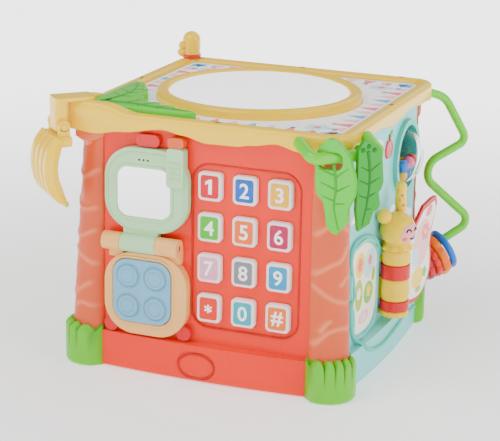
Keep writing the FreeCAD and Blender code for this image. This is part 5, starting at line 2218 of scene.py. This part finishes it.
@dataclass
class Butterfly:
    """Page wing that turns on the bee, and the flat wing printed on the panel."""

    page_turn: float = 8.0
    panel: float = 105.0
    reach: float = 117.5
    gauge: float = 0.14

    def build(self) -> None:
        """Dress the page and add both prints."""
        dress("bee_page", CRIMSON)
        dress("wing_print", INKS["cream"])
        self.page()
        self.left()

    def on_page(self, across: float, lift: float, up: float) -> Spot:
        """Place on the page's face as a spot of the right side.

        Args:
            across: distance from the bee's axis.
            lift: distance from the page's middle plane.
            up: height.

        Returns:
            The spot on the side.
        """
        turn = math.radians(-self.page_turn)
        return (across * math.cos(turn) + lift * math.sin(turn),
                self.reach + lift * math.cos(turn) - across * math.sin(turn), up)

    def page(self) -> None:
        """Ovals, dots and flowers on the page."""
        clay = Clay(Side.RIGHT)
        base = 1.3 + 0.4
        marks = (
            (Pastel.ROSE, oval((44, 84), 30, 40, tilt=-28)),
            (Pastel.YELLOW, oval((38, 56), 22, 17, tilt=10)),
            (Pastel.PINK, flower((50, 92), 15, 6)),
            (Pastel.BLUE, oval((33, 74), 12, 17, tilt=20)),
            (Pastel.GREEN, flower((51, 58), 9, 5)),
            (Pastel.OLIVE, oval((40, 46), 10, 5, tilt=5)),
            (Pastel.YELLOW, oval((50, 92), 5, 5)),
            (Pastel.PINK, oval((56, 108), 12, 7, tilt=30)),
            (Pastel.BLUE, flower((30, 92), 7, 5)))
        for order, (paint, points) in enumerate(marks):
            clay.paint = paint.value
            high = base + self.gauge + order * 0.02
            front = clay.ring([self.on_page(across, high, up)
                               for across, up in anticlockwise(points)])
            back = clay.ring([self.on_page(across, base - 0.1, up)
                              for across, up in anticlockwise(points)])
            clay.skin([back, front])
        clay.finish("page_print", "bee_wing", "card", PASTELS)

    def over(self, trim: float, across: float, up: float) -> float:
        """Distance of the border, which climbs over the trim along the panel's foot.

        Args:
            trim: furthest distance of the trim.
            across: place across the side.
            up: height.

        Returns:
            The distance.
        """
        share = max(0.0, min(1.0, (33 - up) / 4))
        crown = trim - 4 * (across / 84) ** 2
        return 106.2 + (crown + 0.6 - 106.2) * share * share * (3 - 2 * share)

    def left(self) -> None:
        """Patches and flowers on the panel's wing, with its raised teal border."""
        face = self.panel
        clay = Clay(Side.RIGHT)
        outline = softened([(-8, 86), (-20, 97), (-44, 107), (-70, 107), (-73, 99),
                            (-64.5, 73), (-71, 62), (-66, 43), (-56, 33.5), (-10, 33.5)], 2)
        marks = (
            (Pastel.CREAM, outline),
            (Pastel.BLUE, oval((-30, 86), 28, 22, tilt=15)),
            (Pastel.YELLOW, oval((-52, 90), 22, 20, tilt=-20)),
            (Pastel.OLIVE, oval((-53, 66), 18, 26, tilt=8)),
            (Pastel.GREEN, oval((-30, 62), 22, 18, tilt=-10)),
            (Pastel.ROSE, oval((-40, 45), 26, 11, tilt=-4)),
            (Pastel.PINK, flower((-52, 90), 12, 6)),
            (Pastel.YELLOW, flower((-29, 63), 11, 5)),
            (Pastel.CREAM, flower((-53, 67), 10, 5)),
            (Pastel.PINK, flower((-28, 88), 9, 6)),
            (Pastel.BLUE, flower((-38, 45), 7, 5)),
            (Pastel.OLIVE, oval((-19, 74), 7, 11, tilt=-15)))
        for order, (paint, points) in enumerate(marks):
            clay.paint = paint.value
            clay.slab(points, face - 0.2, face + self.gauge + order * 0.03, 0.08, steps=1)
        clay.finish("panel_wing_print", "cube", "card", PASTELS)
        border = Clay(Side.RIGHT)
        edge = curve([(-4, 86), (-18, 101), (-44, 111), (-70, 111.5), (-77.5, 100.5),
                      (-68, 73), (-74.6, 63), (-69, 41), (-47.5, 22), (-20, 16.5), (8, 18),
                      (42, 20.5), (78, 17)], 6)
        trim = high_of("right_panel").x
        border.rod([(across, self.over(trim, across, up), up) for across, up in edge], 1.6,
                   10)
        border.finish("panel_wing_border", "cube", "teal", [TEAL_DEEP])


@dataclass
class Rattle:
    """Clear ball in a ring, with coloured beads inside."""

    colours: tuple[tuple[int, int, int], ...] = (
        (250, 206, 20), (30, 110, 220), (240, 120, 170), (60, 150, 235), (230, 40, 50),
        (70, 190, 70), (250, 130, 30), (30, 110, 220), (250, 206, 20))
    places: tuple[Spot, ...] = (
        (-5.6, 9.0, -14.5), (5.6, 9.0, -14.5), (0.0, 13.0, -5.0), (-11.3, 12.0, -5.5),
        (11.3, 12.0, -5.5), (-5.6, -2.0, -17.0), (5.6, -2.0, -17.0), (-14.5, 2.0, -9.5),
        (14.5, 2.0, -9.5))

    def build(self) -> None:
        """Dress the ball and build the beads."""
        dress("rattle_bezel", TEAL_DEEP)
        dress("rattle_ball", GLASS)
        centre = middle_of("rattle_ball")
        clay = Clay(Side.RIGHT)
        finishes = []
        for order, (across, forward, up) in enumerate(self.places):
            clay.paint = order
            spot = (centre.y + across, centre.x + forward, centre.z + up)
            profile = [(1.2, -5.0)]
            profile += [(5.3 * math.sin(math.radians(turn)),
                         -5.3 * math.cos(math.radians(turn))) for turn in range(20, 170, 12)]
            profile += [(1.2, 5.0), (1.0, 2.5)]
            clay.turned(spot, (0.4, 0.5 - 0.3 * (order % 3), 0.8), profile, 24)
            finishes.append(Moulded(f"loose_bead_{order}", tint(*self.colours[order]),
                                    gloss=0.2, coat=0.16))
        clay.finish("loose_beads", "rattle", "blue", finishes, ["rattle_beads"], 40)


@dataclass
class Wheel:
    """Flower wheel of the left side."""

    def build(self) -> None:
        """Dress the wheel and add its petals and face."""
        dress("left_spinner", YELLOW)
        low, high = low_of("left_spinner"), high_of("left_spinner")
        centre = (-(low.y + high.y) / 2, (low.z + high.z) / 2)
        face = -low.x
        clay = Clay(Side.LEFT)
        clay.slab(flower(centre, 40, 8, 0.22, 96), face - 0.4, face + 0.6, 0.5)
        clay.paint = 1
        clay.slab(oval(centre, 20, 20, 40), face + 0.4, face + 1.8, 1.0)
        clay.paint = 2
        for step in range(8):
            turn = 2 * math.pi * step / 8
            place = (centre[0] + 14.5 * math.cos(turn), centre[1] + 14.5 * math.sin(turn))
            clay.slab(oval(place, 5, 5, 18), face + 0.4, face + 1.1, 0.4)
        clay.finish("wheel_flower", "left_spinner", "yellow", [ORANGE, CRIMSON, WHITE_INK])


# ---------------------------------------------------------------- studio


@dataclass
class Studio:
    """Pale floor, soft light and the camera."""

    place: Spot = (0.512, -1.307, 0.514)
    azimuth: float = 21.40
    elevation: float = 16.41
    roll: float = 1.12
    lens: float = 131.3
    shift: Flat = (-0.0136, -0.0058)

    def build(self) -> None:
        """Build the floor, the lights and the camera."""
        self.floor()
        self.sky()
        self.lamp("key", (-0.9, -1.4, 2.1), 1.8, 52.0)
        self.lamp("fill", (2.2, -0.4, 1.3), 2.0, 40.0)
        self.lamp("back", (0.4, 1.8, 1.7), 2.0, 16.0)
        self.camera()

    def floor(self) -> None:
        """Pale floor with a gentle swell far from the object."""
        mesh = bmesh.new()
        bmesh.ops.create_grid(mesh, x_segments=60, y_segments=60, size=4.0)
        for vert in mesh.verts:
            away = max(0.0, vert.co.length - 2.5)
            vert.co.z = -0.0002 + 0.05 * away ** 2
        data = bpy.data.meshes.new("floor")
        mesh.to_mesh(data)
        mesh.free()
        data.shade_smooth()
        data.materials.append(FLOOR.material())
        floor = bpy.data.objects.new("floor", data)
        bpy.context.collection.objects.link(floor)

    def sky(self) -> None:
        """Even white surroundings."""
        world = bpy.data.worlds.new("surroundings")
        world.use_nodes = True
        background = world.node_tree.nodes["Background"]
        background.inputs["Color"].default_value = (1.0, 1.0, 1.0, 1.0)
        background.inputs["Strength"].default_value = 0.5
        bpy.context.scene.world = world

    def lamp(self, name: str, place: Spot, size: float, power: float) -> None:
        """Soft lamp that faces the object.

        Args:
            name: name of the lamp.
            place: its place in metres.
            size: width of its face.
            power: power in watts.
        """
        light = bpy.data.lights.new(name, "AREA")
        light.size = size
        light.energy = power
        lamp = bpy.data.objects.new(name, light)
        aim = Vector((0.0, 0.0, 0.1)) - Vector(place)
        lamp.matrix_world = Matrix.Translation(place) @ aim.to_track_quat("-Z", "Y") \
            .to_matrix().to_4x4()
        bpy.context.collection.objects.link(lamp)

    def camera(self) -> None:
        """Camera at the reference viewing angle."""
        azimuth, elevation, roll = map(math.radians,
                                       (self.azimuth, self.elevation, self.roll))
        back = Vector((math.sin(azimuth) * math.cos(elevation),
                       -math.cos(azimuth) * math.cos(elevation), math.sin(elevation)))
        level = Vector((0.0, 0.0, 1.0)).cross(back).normalized()
        up = back.cross(level)
        across = level * math.cos(roll) + up * math.sin(roll)
        above = up * math.cos(roll) - level * math.sin(roll)
        data = bpy.data.cameras.new("camera")
        data.lens = self.lens
        data.shift_x, data.shift_y = self.shift
        camera = bpy.data.objects.new("camera", data)
        turn = Matrix((across, above, back)).transposed().to_4x4()
        camera.matrix_world = Matrix.Translation(self.place) @ turn
        bpy.context.collection.objects.link(camera)
        bpy.context.scene.camera = camera


def main() -> None:
    """Build every piece in order."""
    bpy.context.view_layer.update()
    for piece in (Shell(), Corners(), TopFrame(), DeckPrint(), Drum(), Palm(), Bananas(),
                  Post(), HangingLeaves(), BeadWire(), Keypad(), Phone(), Bee(),
                  Butterfly(), Rattle(), Wheel(), Studio()):
        piece.build()
        print(f"built {type(piece).__name__}")


if __name__ == "__main__":
    main()
